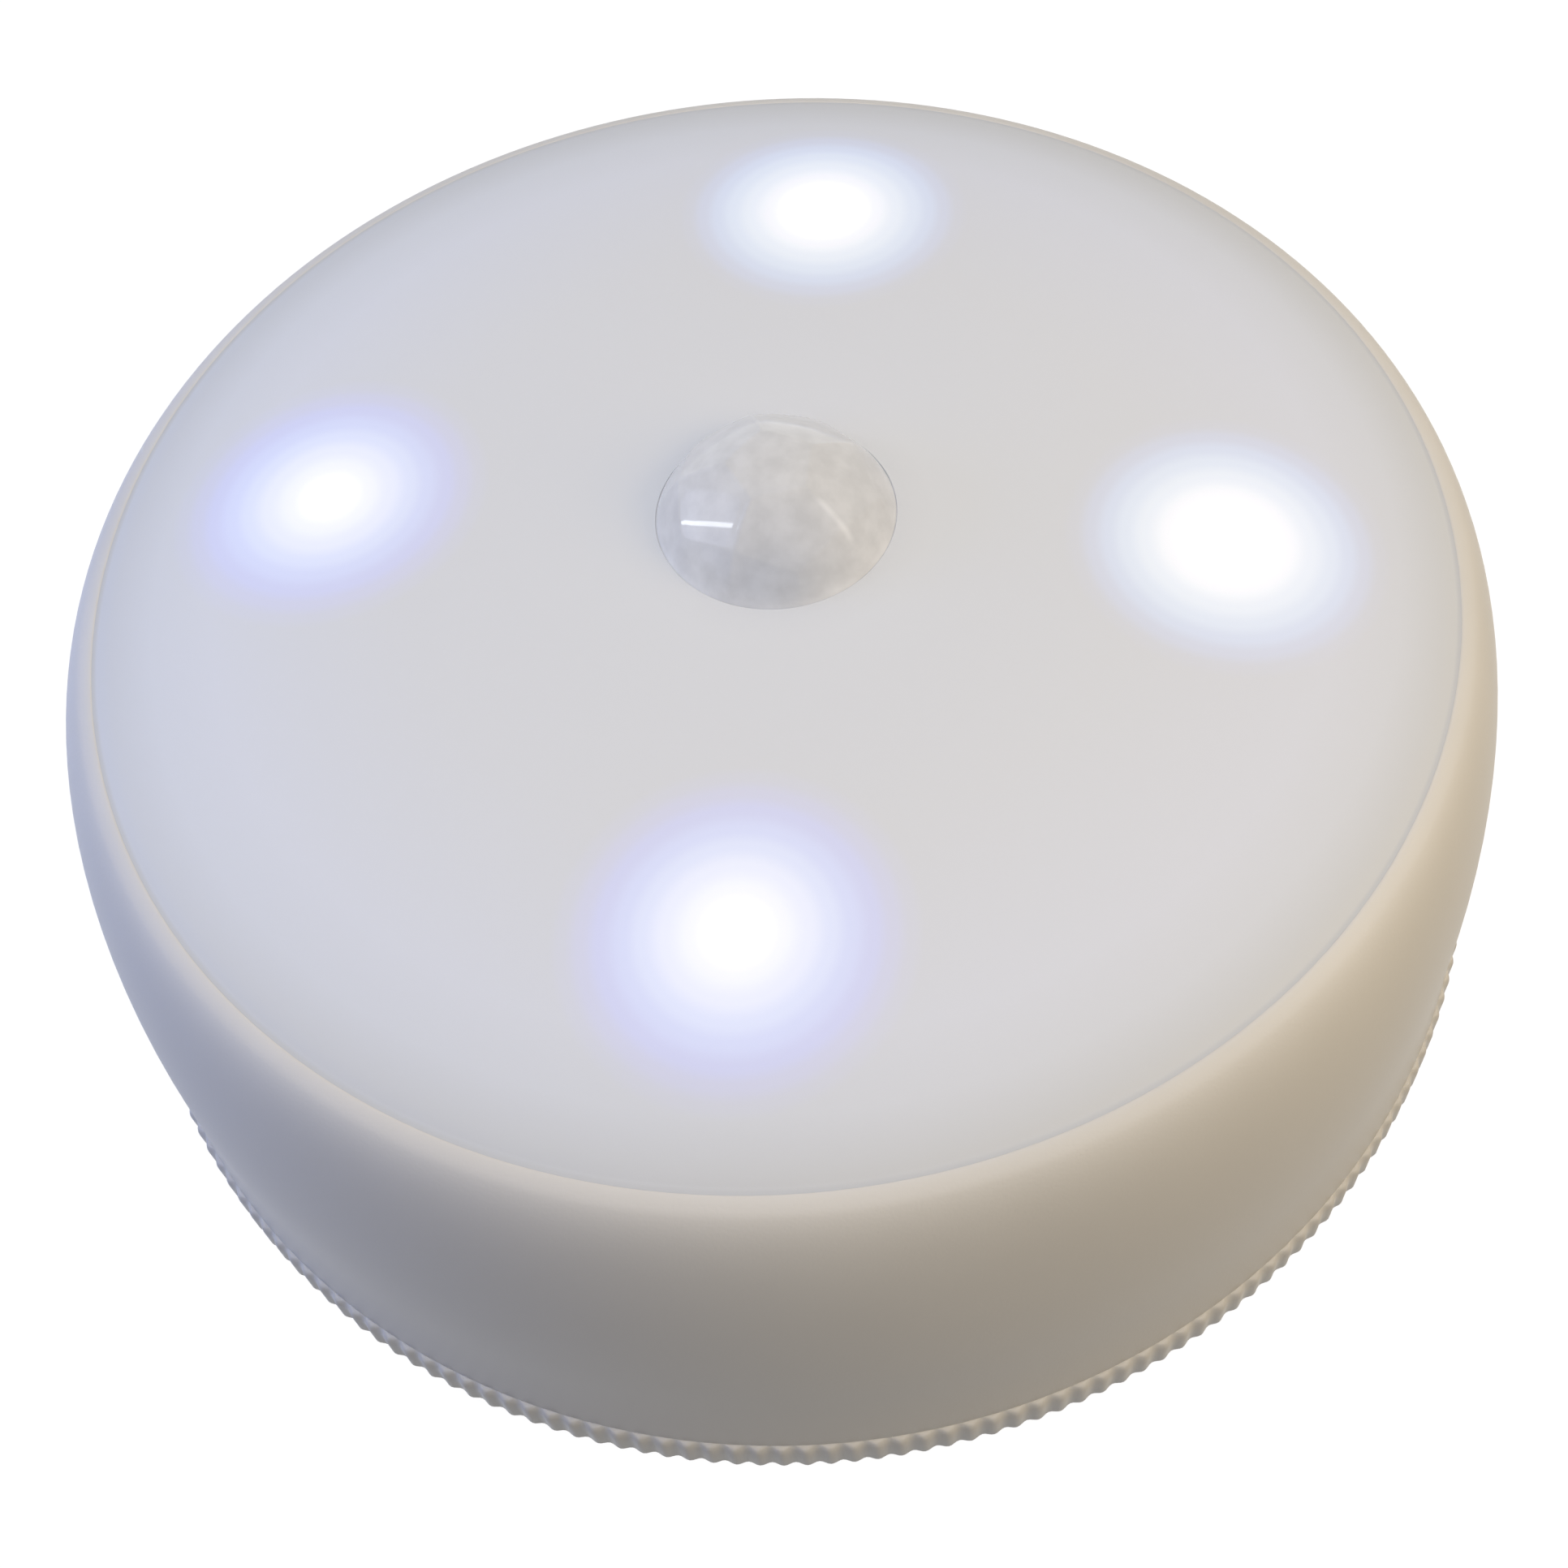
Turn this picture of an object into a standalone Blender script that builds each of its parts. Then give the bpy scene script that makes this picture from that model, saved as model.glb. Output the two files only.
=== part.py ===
"""Battery motion sensor light: a round puck with a domed diffuser, a sensor lens in its middle and a
knurled twist-off base. Metres, +Z out of the face, origin on the back of the adhesive pad."""

from math import acos, atan2, cos, hypot, pi, radians, sin

import bmesh
import bpy
from mathutils import Vector

# Clearance between neighbours that touch on the real light, and how far one cutter overruns its cut
GAP = 0.0003
OVERRUN = 0.0008

# Head: it is as wide as the battery tray needs, and as tall as the stack of tray and board
TRAY_CLEARANCE = 0.00408
SHELL_THICKNESS = 0.0019
SHOULDER_WIDTH = 0.0042
SHOULDER_DROP = 0.0180
LIGHT_THROW = 0.0095
FACE_CROWN = 0.0026
LEDGE_WIDTH = 0.0015
LEDGE_THICKNESS = 0.0016

# Diffuser and its snap skirt
DIFFUSER_THICKNESS = 0.0016
SKIRT_THICKNESS = 0.0013
SKIRT_DEPTH = 0.0031
SKIRT_BEAD = 0.0007
BEAD_HEIGHT = 0.0008

# Sensor lens and the sleeve behind it
LENS_RADIUS = 0.0063
LENS_RISE = 0.0043
LENS_SKIN = 0.0007
LENS_EDGE_ANGLE = radians(68)
LENS_FLANGE_WIDTH = 0.0020
LENS_FLANGE_THICKNESS = 0.0011
SLEEVE_CLEARANCE = 0.0005
SLEEVE_WALL = 0.0012

# Twist-off base with its knurled rim
RIM_OVERHANG = 0.0007
RIM_HEIGHT = 0.0026
TOOTH_COUNT = 208
TOOTH_CORNER_COUNT = 2
TOOTH_DEPTH = 0.00036
TOOTH_CHAMFER = 0.0004
BASE_PLATE_THICKNESS = 0.0020
SPIGOT_WALL = 0.0014

# Bayonet: tabs in the head, lugs on the base
BAYONET_COUNT = 3
BAYONET_REACH = 0.0013
BAYONET_CLEARANCE = 0.0005
TAB_LIFT = 0.0012
TAB_THICKNESS = 0.0016
TAB_SPAN = radians(25)
LUG_THICKNESS = 0.0012
LUG_SPAN = radians(20)
STOP_SPAN = radians(4)

# Adhesive pad and the screw holes of the back face
PAD_THICKNESS = 0.0009
PAD_RECESS_DEPTH = 0.0007
PAD_MARGIN = 0.0005
WALL_SCREW_HOLE_RADIUS = 0.0020
WALL_SCREW_MARGIN = 0.0065

# AAA cells
CELL_COUNT = 3
CELL_RADIUS = 0.00525
CELL_LENGTH = 0.0445
CELL_NUB_RADIUS = 0.0019
CELL_NUB_LENGTH = 0.0010
CELL_PITCH = 0.0113
CELL_EDGE = 0.0004
CELL_CLEARANCE = 0.0005

# Battery springs and contact plates
SPRING_WIRE = 0.0005
SPRING_TURNS = 3
SPRING_LENGTH = 0.0036
SPRING_WIDE_RADIUS = 0.0034
SPRING_NARROW_RADIUS = 0.0022
SPRING_POINTS_PER_TURN = 8
CONTACT_THICKNESS = 0.0004
CONTACT_WIDTH = 0.0088
CONTACT_HEIGHT = 0.0086
SOLDER_TAB_WIDTH = 0.0030
SOLDER_TAB_HEIGHT = 0.0012
SOLDER_TAB_REACH = 0.0014

# Battery tray
TRAY_WALL = 0.0013
TRAY_ROOF = 0.0015
TRAY_LIP = 0.0003
TRAY_RIB_THICKNESS = 0.0010
TRAY_RIB_DEPTH = 0.0020
EAR_RADIUS = 0.0024
EAR_FLARE = 0.0012

# Circuit board and the bosses that it is screwed to
BOARD_THICKNESS = 0.0016
BOARD_MARGIN = 0.0006
BOSS_RADIUS = 0.0030
BOSS_SINK = 0.0005
BOSS_END_THICKNESS = 0.0010
BOSS_ANGLES = (radians(330), radians(90), radians(210))
SCREW_SHANK_RADIUS = 0.0010
SCREW_HEAD_RADIUS = 0.0020
SCREW_HEAD_HEIGHT = 0.0013
SCREW_SLOT_WIDTH = 0.0006
SCREW_SLOT_DEPTH = 0.0006

# Light sources on the board, on a circle that is a share of the face
LED_COUNT = 4
LED_CIRCLE_SHARE = 0.663
LED_SIZE = 0.0050
LED_HEIGHT = 0.0016
LED_POOL_RADIUS = 0.0020
LED_POOL_DEPTH = 0.0009
LED_POOL_MARGIN = 0.0003
RESISTOR_SPACING = 0.0031
RESISTOR_LENGTH = 0.0020
RESISTOR_WIDTH = 0.00125
RESISTOR_HEIGHT = 0.0006

# Infrared sensor
CAN_BASE_RADIUS = 0.0046
CAN_BASE_THICKNESS = 0.0007
CAN_RADIUS = 0.0041
CAN_HEIGHT = 0.0043
CAN_LEAD_RADIUS = 0.00025
CAN_LEAD_PLACE_RADIUS = 0.00254
CAN_LEAD_ANGLES = (radians(45), radians(135), radians(225))
FILTER_LENGTH = 0.0038
FILTER_WIDTH = 0.0028
FILTER_THICKNESS = 0.0003

# Photocell
PHOTOCELL_RADIUS = 0.0025
PHOTOCELL_HEIGHT = 0.0020
PHOTOCELL_SPACING = 0.0057
PHOTOCELL_ANGLE = radians(45)

# Components under the board, in a column beside the battery tray
SIDE_SPACING = 0.0058
COMPONENT_SPACING = 0.0055
CHIP_WIDTH = 0.0062
CHIP_LENGTH = 0.0100
CHIP_HEIGHT = 0.0015
TRANSISTOR_WIDTH = 0.0025
TRANSISTOR_LENGTH = 0.0045
TRANSISTOR_SPACING = 0.0015
REGULATOR_WIDTH = 0.0045
REGULATOR_LENGTH = 0.0025
CAPACITOR_RADIUS = 0.0031
CAPACITOR_HEIGHT = 0.0072
CAPACITOR_CRIMP = 0.0003
COMPONENT_EDGE = 0.0002

# Slide switch: its body, its lever and the button that a fingertip reaches
SWITCH_SPACING = 0.00985
SWITCH_TRAVEL = 0.0020
SWITCH_BODY_WIDTH = 0.0044
SWITCH_BODY_LENGTH = 0.0092
SWITCH_BODY_HEIGHT = 0.0035
SWITCH_SLOT_DEPTH = 0.0013
LEVER_WIDTH = 0.0015
LEVER_LENGTH = 0.0018
LEVER_REACH = 0.0035
BUTTON_WIDTH = 0.0042
BUTTON_LENGTH = 0.0052
BUTTON_LIFT = 0.0009
BUTTON_COLLAR = 0.0009
BUTTON_COLLAR_THICKNESS = 0.0012
BUTTON_SOCKET_OVERLAP = 0.0030
BUTTON_GROOVE_WIDTH = 0.0005
BUTTON_GROOVE_COUNT = 3
GUIDE_LIFT = 0.0027
GUIDE_THICKNESS = 0.0016
GUIDE_MARGIN = 0.0027
WINDOW_MARGIN = 0.0008
WINDOW_WEB = 0.0026

# Battery leads
LEAD_DIAMETER = 0.0013
LEAD_RUN_OUT = 0.0011
LEAD_POINTS = 9
LEAD_BEVEL_RESOLUTION = 2

# Facets of the round pieces
BODY_STEPS = 60
PIECE_STEPS = 28
SMALL_STEPS = 12
SHOULDER_STEPS = 6
FACE_STEPS = 4
LENS_STEPS = 5
SMOOTH_ANGLE = radians(35)
FLAT_ANGLE = radians(0.1)
MERGE_DISTANCE = 0.00001
TURN = 2 * pi

# Heights up the stack, from the pad's face
recess_floor_z = PAD_THICKNESS + GAP
back_z = recess_floor_z - PAD_RECESS_DEPTH
plate_top_z = back_z + BASE_PLATE_THICKNESS
rim_top_z = back_z + RIM_HEIGHT
wall_low_z = rim_top_z + GAP
cell_low_z = plate_top_z + CELL_CLEARANCE
cell_axis_z = cell_low_z + CELL_RADIUS
roof_low_z = cell_axis_z + CELL_RADIUS + GAP
roof_top_z = roof_low_z + TRAY_ROOF
board_low_z = roof_top_z + GAP
board_top_z = board_low_z + BOARD_THICKNESS
under_board_z = board_low_z - GAP
on_board_z = board_top_z + GAP
edge_z = on_board_z + LIGHT_THROW
ledge_top_z = edge_z - DIFFUSER_THICKNESS - GAP
ledge_low_z = ledge_top_z - LEDGE_THICKNESS
skirt_low_z = edge_z - DIFFUSER_THICKNESS - SKIRT_DEPTH
boss_low_z = board_top_z + GAP
boss_top_z = skirt_low_z - GAP
screw_tip_z = boss_top_z - BOSS_END_THICKNESS - GAP
guide_low_z = plate_top_z + GUIDE_LIFT
guide_top_z = guide_low_z + GUIDE_THICKNESS
tab_low_z = wall_low_z + TAB_LIFT
tab_top_z = tab_low_z + TAB_THICKNESS
lug_low_z = tab_top_z + GAP
lug_top_z = lug_low_z + LUG_THICKNESS
spigot_top_z = lug_top_z + GAP

# Battery bay: cells lie along Y, with contacts at both ends
bay_half = (CELL_LENGTH + SPRING_LENGTH + 2 * CONTACT_THICKNESS + 5 * GAP) / 2
bay_side = (CELL_COUNT - 1) / 2 * CELL_PITCH + CELL_RADIUS + GAP
tray_half_x = bay_side + TRAY_WALL
tray_half_y = bay_half + TRAY_WALL
cell_columns = [(index - (CELL_COUNT - 1) / 2) * CELL_PITCH for index in range(CELL_COUNT)]

# Radii from the tray's corner outward: spigot, bayonet, shell, rim and face
spigot_bore_radius = hypot(tray_half_x, tray_half_y) + TRAY_CLEARANCE
spigot_radius = spigot_bore_radius + SPIGOT_WALL
tab_radius = spigot_radius + BAYONET_CLEARANCE
bore_radius = tab_radius + BAYONET_REACH
lug_radius = bore_radius - BAYONET_CLEARANCE
wall_radius = bore_radius + SHELL_THICKNESS
rim_radius = wall_radius + RIM_OVERHANG
face_radius = wall_radius - SHOULDER_WIDTH

# Switch window beside the tray, and the pad and wall screws that keep clear of it
switch_x = tray_half_x + SWITCH_SPACING
window_half_x = BUTTON_WIDTH / 2 + WINDOW_MARGIN
window_half_y = BUTTON_LENGTH / 2 + SWITCH_TRAVEL + WINDOW_MARGIN
recess_radius = switch_x - window_half_x - WINDOW_WEB
pad_radius = recess_radius - PAD_MARGIN
wall_screw_y = recess_radius + WALL_SCREW_MARGIN


def shoulder_radius(z):
    """Outer radius of the head at height z: a quarter ellipse from the face edge into the wall."""
    drop = min(max(edge_z - z, 0.0), SHOULDER_DROP)
    turn = acos(1 - drop / SHOULDER_DROP)
    return face_radius + SHOULDER_WIDTH * sin(turn)


def bore_at(z):
    """Inner radius of the head at height z."""
    return shoulder_radius(z) - SHELL_THICKNESS


seat_radius = face_radius + GAP / 2
diffuser_radius = face_radius - GAP / 2
ledge_radius = seat_radius - LEDGE_WIDTH
skirt_radius = ledge_radius - GAP
board_radius = bore_at(board_top_z) - BOARD_MARGIN
boss_circle = bore_at(boss_low_z) + BOSS_SINK - BOSS_RADIUS
screw_hole_radius = SCREW_SHANK_RADIUS + GAP
led_circle = LED_CIRCLE_SHARE * face_radius
resistor_circle = led_circle - LED_SIZE / 2 - RESISTOR_SPACING - RESISTOR_LENGTH / 2


def face_z(radius):
    """Height of the diffuser's outer face at a radius."""
    share = radius / diffuser_radius
    return edge_z + FACE_CROWN * (1 - share**4)


lens_hole_radius = LENS_RADIUS + GAP
lens_base_z = face_z(lens_hole_radius)
flange_top_z = lens_base_z - DIFFUSER_THICKNESS - GAP
flange_low_z = flange_top_z - LENS_FLANGE_THICKNESS
flange_radius = LENS_RADIUS + LENS_FLANGE_WIDTH
sleeve_top_z = flange_low_z - GAP
sleeve_bore_radius = CAN_BASE_RADIUS + SLEEVE_CLEARANCE
sleeve_radius = sleeve_bore_radius + SLEEVE_WALL
photocell_circle = sleeve_radius + PHOTOCELL_SPACING + PHOTOCELL_RADIUS


def clear_scene():
    for old in list(bpy.data.objects):
        bpy.data.objects.remove(old, do_unlink=True)


def make_collection(name):
    collection = bpy.data.collections.new(name)
    bpy.context.scene.collection.children.link(collection)
    return collection


def make_material(name, colour, roughness, metallic=0.0, alpha=1.0, glow=0.0):
    material = bpy.data.materials.new(name)
    material.use_nodes = True
    material.diffuse_color = (*colour, alpha)
    shader = material.node_tree.nodes["Principled BSDF"]
    shader.inputs["Base Color"].default_value = (*colour, 1)
    shader.inputs["Roughness"].default_value = roughness
    shader.inputs["Metallic"].default_value = metallic
    shader.inputs["Alpha"].default_value = alpha
    shader.inputs["Emission Color"].default_value = (*colour, 1)
    shader.inputs["Emission Strength"].default_value = glow
    return material


def add_object(name, data, material=None):
    """Puts new data in the part's collection, or among the cutters when it has no material."""
    made = bpy.data.objects.new(name, data)
    if material is None:
        cutters.objects.link(made)
        made.hide_render = True
        made.display_type = "WIRE"
    else:
        part.objects.link(made)
        data.materials.append(material)
    return made


def polar(radius, angle):
    return (radius * cos(angle), radius * sin(angle))


def lathe(name, profile, material=None, steps=BODY_STEPS, centre=(0, 0), closed=True):
    """Turns a profile of (radius, z) points about a vertical axis. It runs down the outer side."""
    mesh = bpy.data.meshes.new(name)
    count = len(profile)
    edges = [(i, i + 1) for i in range(count - 1)]
    if closed:
        edges.append((count - 1, 0))
    mesh.from_pydata([(radius, 0, z) for radius, z in profile], edges, [])
    turned = add_object(name, mesh, material)
    turned.location = (*centre, 0)
    screw = turned.modifiers.new("Turn", "SCREW")
    screw.angle = TURN
    screw.steps = steps
    screw.render_steps = steps
    screw.use_merge_vertices = True
    screw.merge_threshold = MERGE_DISTANCE
    screw.use_smooth_shade = True
    return turned


def disc(name, radius, low, high, material=None, steps=PIECE_STEPS, centre=(0, 0)):
    profile = [(0, high), (radius, high), (radius, low), (0, low)]
    return lathe(name, profile, material, steps, centre, closed=False)


def block(name, centre, size, low, high, material=None, edge=0.0, angle=0.0):
    """A box centred on a point of the plan, from one height to another, with bevelled edges."""
    mesh = bpy.data.meshes.new(name)
    shape = bmesh.new()
    bmesh.ops.create_cube(shape, size=1)
    bmesh.ops.scale(shape, vec=(*size, high - low), verts=shape.verts)
    shape.to_mesh(mesh)
    shape.free()
    box = add_object(name, mesh, material)
    box.location = (*centre, (low + high) / 2)
    box.rotation_euler.z = angle
    if edge:
        bevel = box.modifiers.new("Edges", "BEVEL")
        bevel.width = edge
        bevel.segments = 1
    return box


def plate(name, outlines, low, high, material=None):
    """A flat sheet from closed outlines in plan: the first is its edge, those inside it are holes."""
    curve = bpy.data.curves.new(name, "CURVE")
    curve.dimensions = "2D"
    curve.fill_mode = "BOTH"
    curve.extrude = (high - low) / 2
    for outline in outlines:
        spline = curve.splines.new("POLY")
        spline.points.add(len(outline) - 1)
        for point, (x, y) in zip(spline.points, outline):
            point.co = (x, y, 0, 1)
        spline.use_cyclic_u = True
    return solid_from_curve(name, curve, material, Vector((0, 0, (low + high) / 2)))


def tube(name, points, diameter, resolution, material=None):
    """A round wire along a smooth row of points, with filled caps."""
    curve = bpy.data.curves.new(name, "CURVE")
    curve.dimensions = "3D"
    curve.bevel_depth = diameter / 2
    curve.bevel_resolution = resolution
    curve.use_fill_caps = True
    spline = curve.splines.new("POLY")
    spline.points.add(len(points) - 1)
    for point, place in zip(spline.points, points):
        point.co = (*place, 1)
    return solid_from_curve(name, curve, material, Vector((0, 0, 0)))


def solid_from_curve(name, curve, material, location):
    """Makes a curve a welded mesh, so that it can be cut and joined."""
    guide = bpy.data.objects.new(name + "_curve", curve)
    guide.location = location
    cutters.objects.link(guide)
    bpy.context.view_layer.update()
    ready = guide.evaluated_get(bpy.context.evaluated_depsgraph_get())
    mesh = bpy.data.meshes.new_from_object(ready)
    shape = bmesh.new()
    shape.from_mesh(mesh)
    bmesh.ops.remove_doubles(shape, verts=shape.verts, dist=MERGE_DISTANCE)
    if curve.dimensions == "2D":
        bmesh.ops.dissolve_limit(shape, angle_limit=FLAT_ANGLE, verts=shape.verts, edges=shape.edges)
    bmesh.ops.recalc_face_normals(shape, faces=shape.faces)
    shape.to_mesh(mesh)
    shape.free()
    mesh.name = name
    mesh.shade_smooth()
    mesh.set_sharp_from_angle(angle=SMOOTH_ANGLE)
    made = add_object(name, mesh, material)
    made.matrix_world = guide.matrix_world
    bpy.data.objects.remove(guide, do_unlink=True)
    return made


def combine(target, operation, tools):
    """Boolean modifiers, each after a Triangulate so that every face it meets is truly flat."""
    for tool in tools:
        target.modifiers.new(tool.name + "_flat", "TRIANGULATE")
        change = target.modifiers.new(tool.name, "BOOLEAN")
        change.operation = operation
        change.object = tool
    return target


def cut(target, *tools):
    return combine(target, "DIFFERENCE", tools)


def join(target, *tools):
    return combine(target, "UNION", tools)


def circle(radius, centre=(0, 0), steps=SMALL_STEPS):
    return [
        (centre[0] + radius * cos(TURN * i / steps), centre[1] + radius * sin(TURN * i / steps))
        for i in range(steps)
    ]


def arc_block(name, inner, outer, middle, span, low, high):
    """A block bent round the axis, used for the bayonet's tabs and lugs."""
    steps = max(2, round(span / TURN * BODY_STEPS))
    angles = [middle - span / 2 + span * i / steps for i in range(steps + 1)]
    outline = [polar(outer, angle) for angle in angles] + [polar(inner, angle) for angle in reversed(angles)]
    return plate(name, [outline], low, high)


def rectangle(half_x, half_y, centre=(0, 0)):
    left, right = centre[0] - half_x, centre[0] + half_x
    near, far = centre[1] - half_y, centre[1] + half_y
    return [(left, near), (right, near), (right, far), (left, far)]


def make_front_housing(material):
    """Shoulder, wall, the ledge under the diffuser, three screw bosses and the bayonet tabs."""
    wall_top_z = edge_z - SHOULDER_DROP
    turns = [pi / 2 * i / SHOULDER_STEPS for i in range(1, SHOULDER_STEPS)]
    shoulder = [edge_z - SHOULDER_DROP * (1 - cos(turn)) for turn in turns]
    inner = [wall_top_z + (ledge_low_z - wall_top_z) * share for share in (0, 1 / 3, 2 / 3, 1)]
    profile = [(seat_radius, edge_z - GAP / 2)]
    profile += [(shoulder_radius(z), z) for z in shoulder]
    profile += [(wall_radius, wall_top_z), (wall_radius, wall_low_z), (bore_radius, wall_low_z)]
    profile += [(bore_at(z), z) for z in inner]
    profile += [(ledge_radius, ledge_low_z), (ledge_radius, ledge_top_z), (seat_radius, ledge_top_z)]
    housing = lathe("front_housing", profile, material)
    pilot_low_z = boss_low_z - OVERRUN
    pilot_top_z = screw_tip_z + GAP
    for number, angle in enumerate(BOSS_ANGLES, 1):
        spot = {"steps": SMALL_STEPS, "centre": polar(boss_circle, angle)}
        boss = disc(f"boss_{number}", BOSS_RADIUS, boss_low_z, boss_top_z, **spot)
        pilot = disc(f"pilot_{number}", screw_hole_radius, pilot_low_z, pilot_top_z, **spot)
        cut(join(housing, boss), pilot)
    for number in range(BAYONET_COUNT):
        middle = TURN * number / BAYONET_COUNT
        outer = bore_radius + SHELL_THICKNESS / 2
        tab = arc_block(f"tab_{number}", tab_radius, outer, middle, TAB_SPAN, tab_low_z, tab_top_z)
        stop_start = middle + LUG_SPAN / 2 + GAP / lug_radius
        stop_middle = stop_start + STOP_SPAN / 2
        stop_low_z = tab_low_z + GAP
        stop_inner = tab_radius + GAP
        stop = arc_block(f"stop_{number}", stop_inner, outer, stop_middle, STOP_SPAN, stop_low_z, lug_top_z)
        join(housing, tab, stop)
    return housing


def make_diffuser(material):
    """Domed frosted disc with a hole for the lens and a snap skirt under its edge."""
    span = diffuser_radius - lens_hole_radius
    radii = [lens_hole_radius + span * sin(pi / 2 * i / FACE_STEPS) for i in range(FACE_STEPS + 1)]
    skirt_bore = skirt_radius - SKIRT_THICKNESS
    under = [radius for radius in radii if radius < skirt_bore]
    rim_low_z = edge_z - DIFFUSER_THICKNESS
    bead_z = skirt_low_z + BEAD_HEIGHT
    profile = [(radius, face_z(radius)) for radius in radii]
    profile += [(diffuser_radius, rim_low_z), (skirt_radius, rim_low_z)]
    profile += [(skirt_radius, bead_z + SKIRT_BEAD), (skirt_radius + SKIRT_BEAD, bead_z)]
    profile += [(skirt_radius, skirt_low_z), (skirt_bore, skirt_low_z)]
    profile += [(skirt_bore, face_z(skirt_bore) - DIFFUSER_THICKNESS)]
    profile += [(radius, face_z(radius) - DIFFUSER_THICKNESS) for radius in reversed(under)]
    return lathe("diffuser", profile, material)


def dome_profile(radius, rise, base_z):
    """Points from the apex of a rounded dome down to its base circle, which it meets steeply."""
    points = []
    for i in range(LENS_STEPS + 1):
        turn = LENS_EDGE_ANGLE * i / LENS_STEPS
        height = (cos(turn) - cos(LENS_EDGE_ANGLE)) / (1 - cos(LENS_EDGE_ANGLE))
        points.append((radius * sin(turn) / sin(LENS_EDGE_ANGLE), base_z + rise * height))
    return points


def make_lens(material):
    """Thin dome of the infrared lens, open at the back, with the flange that the sleeve holds."""
    profile = dome_profile(LENS_RADIUS, LENS_RISE, lens_base_z)
    profile += [(LENS_RADIUS, flange_top_z), (flange_radius, flange_top_z)]
    profile += [(flange_radius, flange_low_z), (LENS_RADIUS - LENS_SKIN, flange_low_z)]
    profile += reversed(dome_profile(LENS_RADIUS - LENS_SKIN, LENS_RISE - LENS_SKIN, lens_base_z))
    return lathe("sensor_lens", profile, material, PIECE_STEPS, closed=False)


def make_lens_sleeve(material):
    profile = [(sleeve_radius, sleeve_top_z), (sleeve_radius, on_board_z)]
    profile += [(sleeve_bore_radius, on_board_z), (sleeve_bore_radius, sleeve_top_z)]
    return lathe("lens_sleeve", profile, material, PIECE_STEPS)


def make_board(material):
    """Round circuit board with its screw holes and the sensor's lead holes."""
    holes = [circle(screw_hole_radius, polar(boss_circle, angle)) for angle in BOSS_ANGLES]
    lead_hole = CAN_LEAD_RADIUS + GAP
    holes += [circle(lead_hole, polar(CAN_LEAD_PLACE_RADIUS, angle)) for angle in CAN_LEAD_ANGLES]
    edge = circle(board_radius, steps=BODY_STEPS)
    return plate("circuit_board", [edge, *holes], board_low_z, board_top_z, material)


def make_infrared_sensor(can_material, filter_material):
    """Metal can with a filter window in its top and three leads through the board."""
    can_low_z = on_board_z
    shelf_z = can_low_z + CAN_BASE_THICKNESS
    can_top_z = can_low_z + CAN_HEIGHT
    profile = [(0, can_top_z), (CAN_RADIUS, can_top_z), (CAN_RADIUS, shelf_z), (CAN_BASE_RADIUS, shelf_z)]
    profile += [(CAN_BASE_RADIUS, can_low_z), (0, can_low_z)]
    can = lathe("infrared_sensor_can", profile, can_material, PIECE_STEPS, closed=False)
    for number, angle in enumerate(CAN_LEAD_ANGLES, 1):
        spot = {"steps": SMALL_STEPS // 2, "centre": polar(CAN_LEAD_PLACE_RADIUS, angle)}
        join(can, disc(f"can_lead_{number}", CAN_LEAD_RADIUS, board_low_z, shelf_z - GAP, **spot))
    filter_low_z = can_top_z - 2 * FILTER_THICKNESS
    filter_top_z = filter_low_z + FILTER_THICKNESS
    opening = (FILTER_LENGTH + 2 * GAP, FILTER_WIDTH + 2 * GAP)
    cut(can, block("filter_recess", (0, 0), opening, filter_low_z - GAP, can_top_z + OVERRUN))
    size = (FILTER_LENGTH, FILTER_WIDTH)
    block("sensor_filter", (0, 0), size, filter_low_z, filter_top_z, filter_material)


def make_leds(body_material, phosphor_material, resistor_material):
    """Four LED packages, each with its phosphor pool and a resistor nearer the middle."""
    led_heights = (on_board_z, on_board_z + LED_HEIGHT)
    resistor_heights = (on_board_z, on_board_z + RESISTOR_HEIGHT)
    pool_low_z = led_heights[1] - LED_POOL_DEPTH
    pool_heights = (pool_low_z, led_heights[1] - LED_POOL_MARGIN)
    cup_radius = LED_POOL_RADIUS + LED_POOL_MARGIN
    cup_heights = (pool_low_z - LED_POOL_MARGIN, led_heights[1] + OVERRUN)
    led_size = (LED_SIZE, LED_SIZE)
    resistor_size = (RESISTOR_LENGTH, RESISTOR_WIDTH)
    for number in range(1, LED_COUNT + 1):
        angle = TURN * (number - 1) / LED_COUNT
        place = polar(led_circle, angle)
        led = block(f"led_{number}", place, led_size, *led_heights, body_material, COMPONENT_EDGE)
        cut(led, disc(f"led_cup_{number}", cup_radius, *cup_heights, None, SMALL_STEPS, place))
        pool = (LED_POOL_RADIUS, *pool_heights, phosphor_material, SMALL_STEPS, place)
        disc(f"led_phosphor_{number}", *pool)
        look = (resistor_material, COMPONENT_EDGE, angle)
        place = polar(resistor_circle, angle)
        block(f"led_resistor_{number}", place, resistor_size, *resistor_heights, *look)


def make_photocell(material):
    place = polar(photocell_circle, PHOTOCELL_ANGLE)
    top_z = on_board_z + PHOTOCELL_HEIGHT
    shoulder = PHOTOCELL_RADIUS - COMPONENT_EDGE
    profile = [(0, top_z), (shoulder, top_z), (PHOTOCELL_RADIUS, top_z - COMPONENT_EDGE)]
    profile += [(PHOTOCELL_RADIUS, on_board_z), (0, on_board_z)]
    lathe("photocell", profile, material, SMALL_STEPS, place, closed=False)


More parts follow.
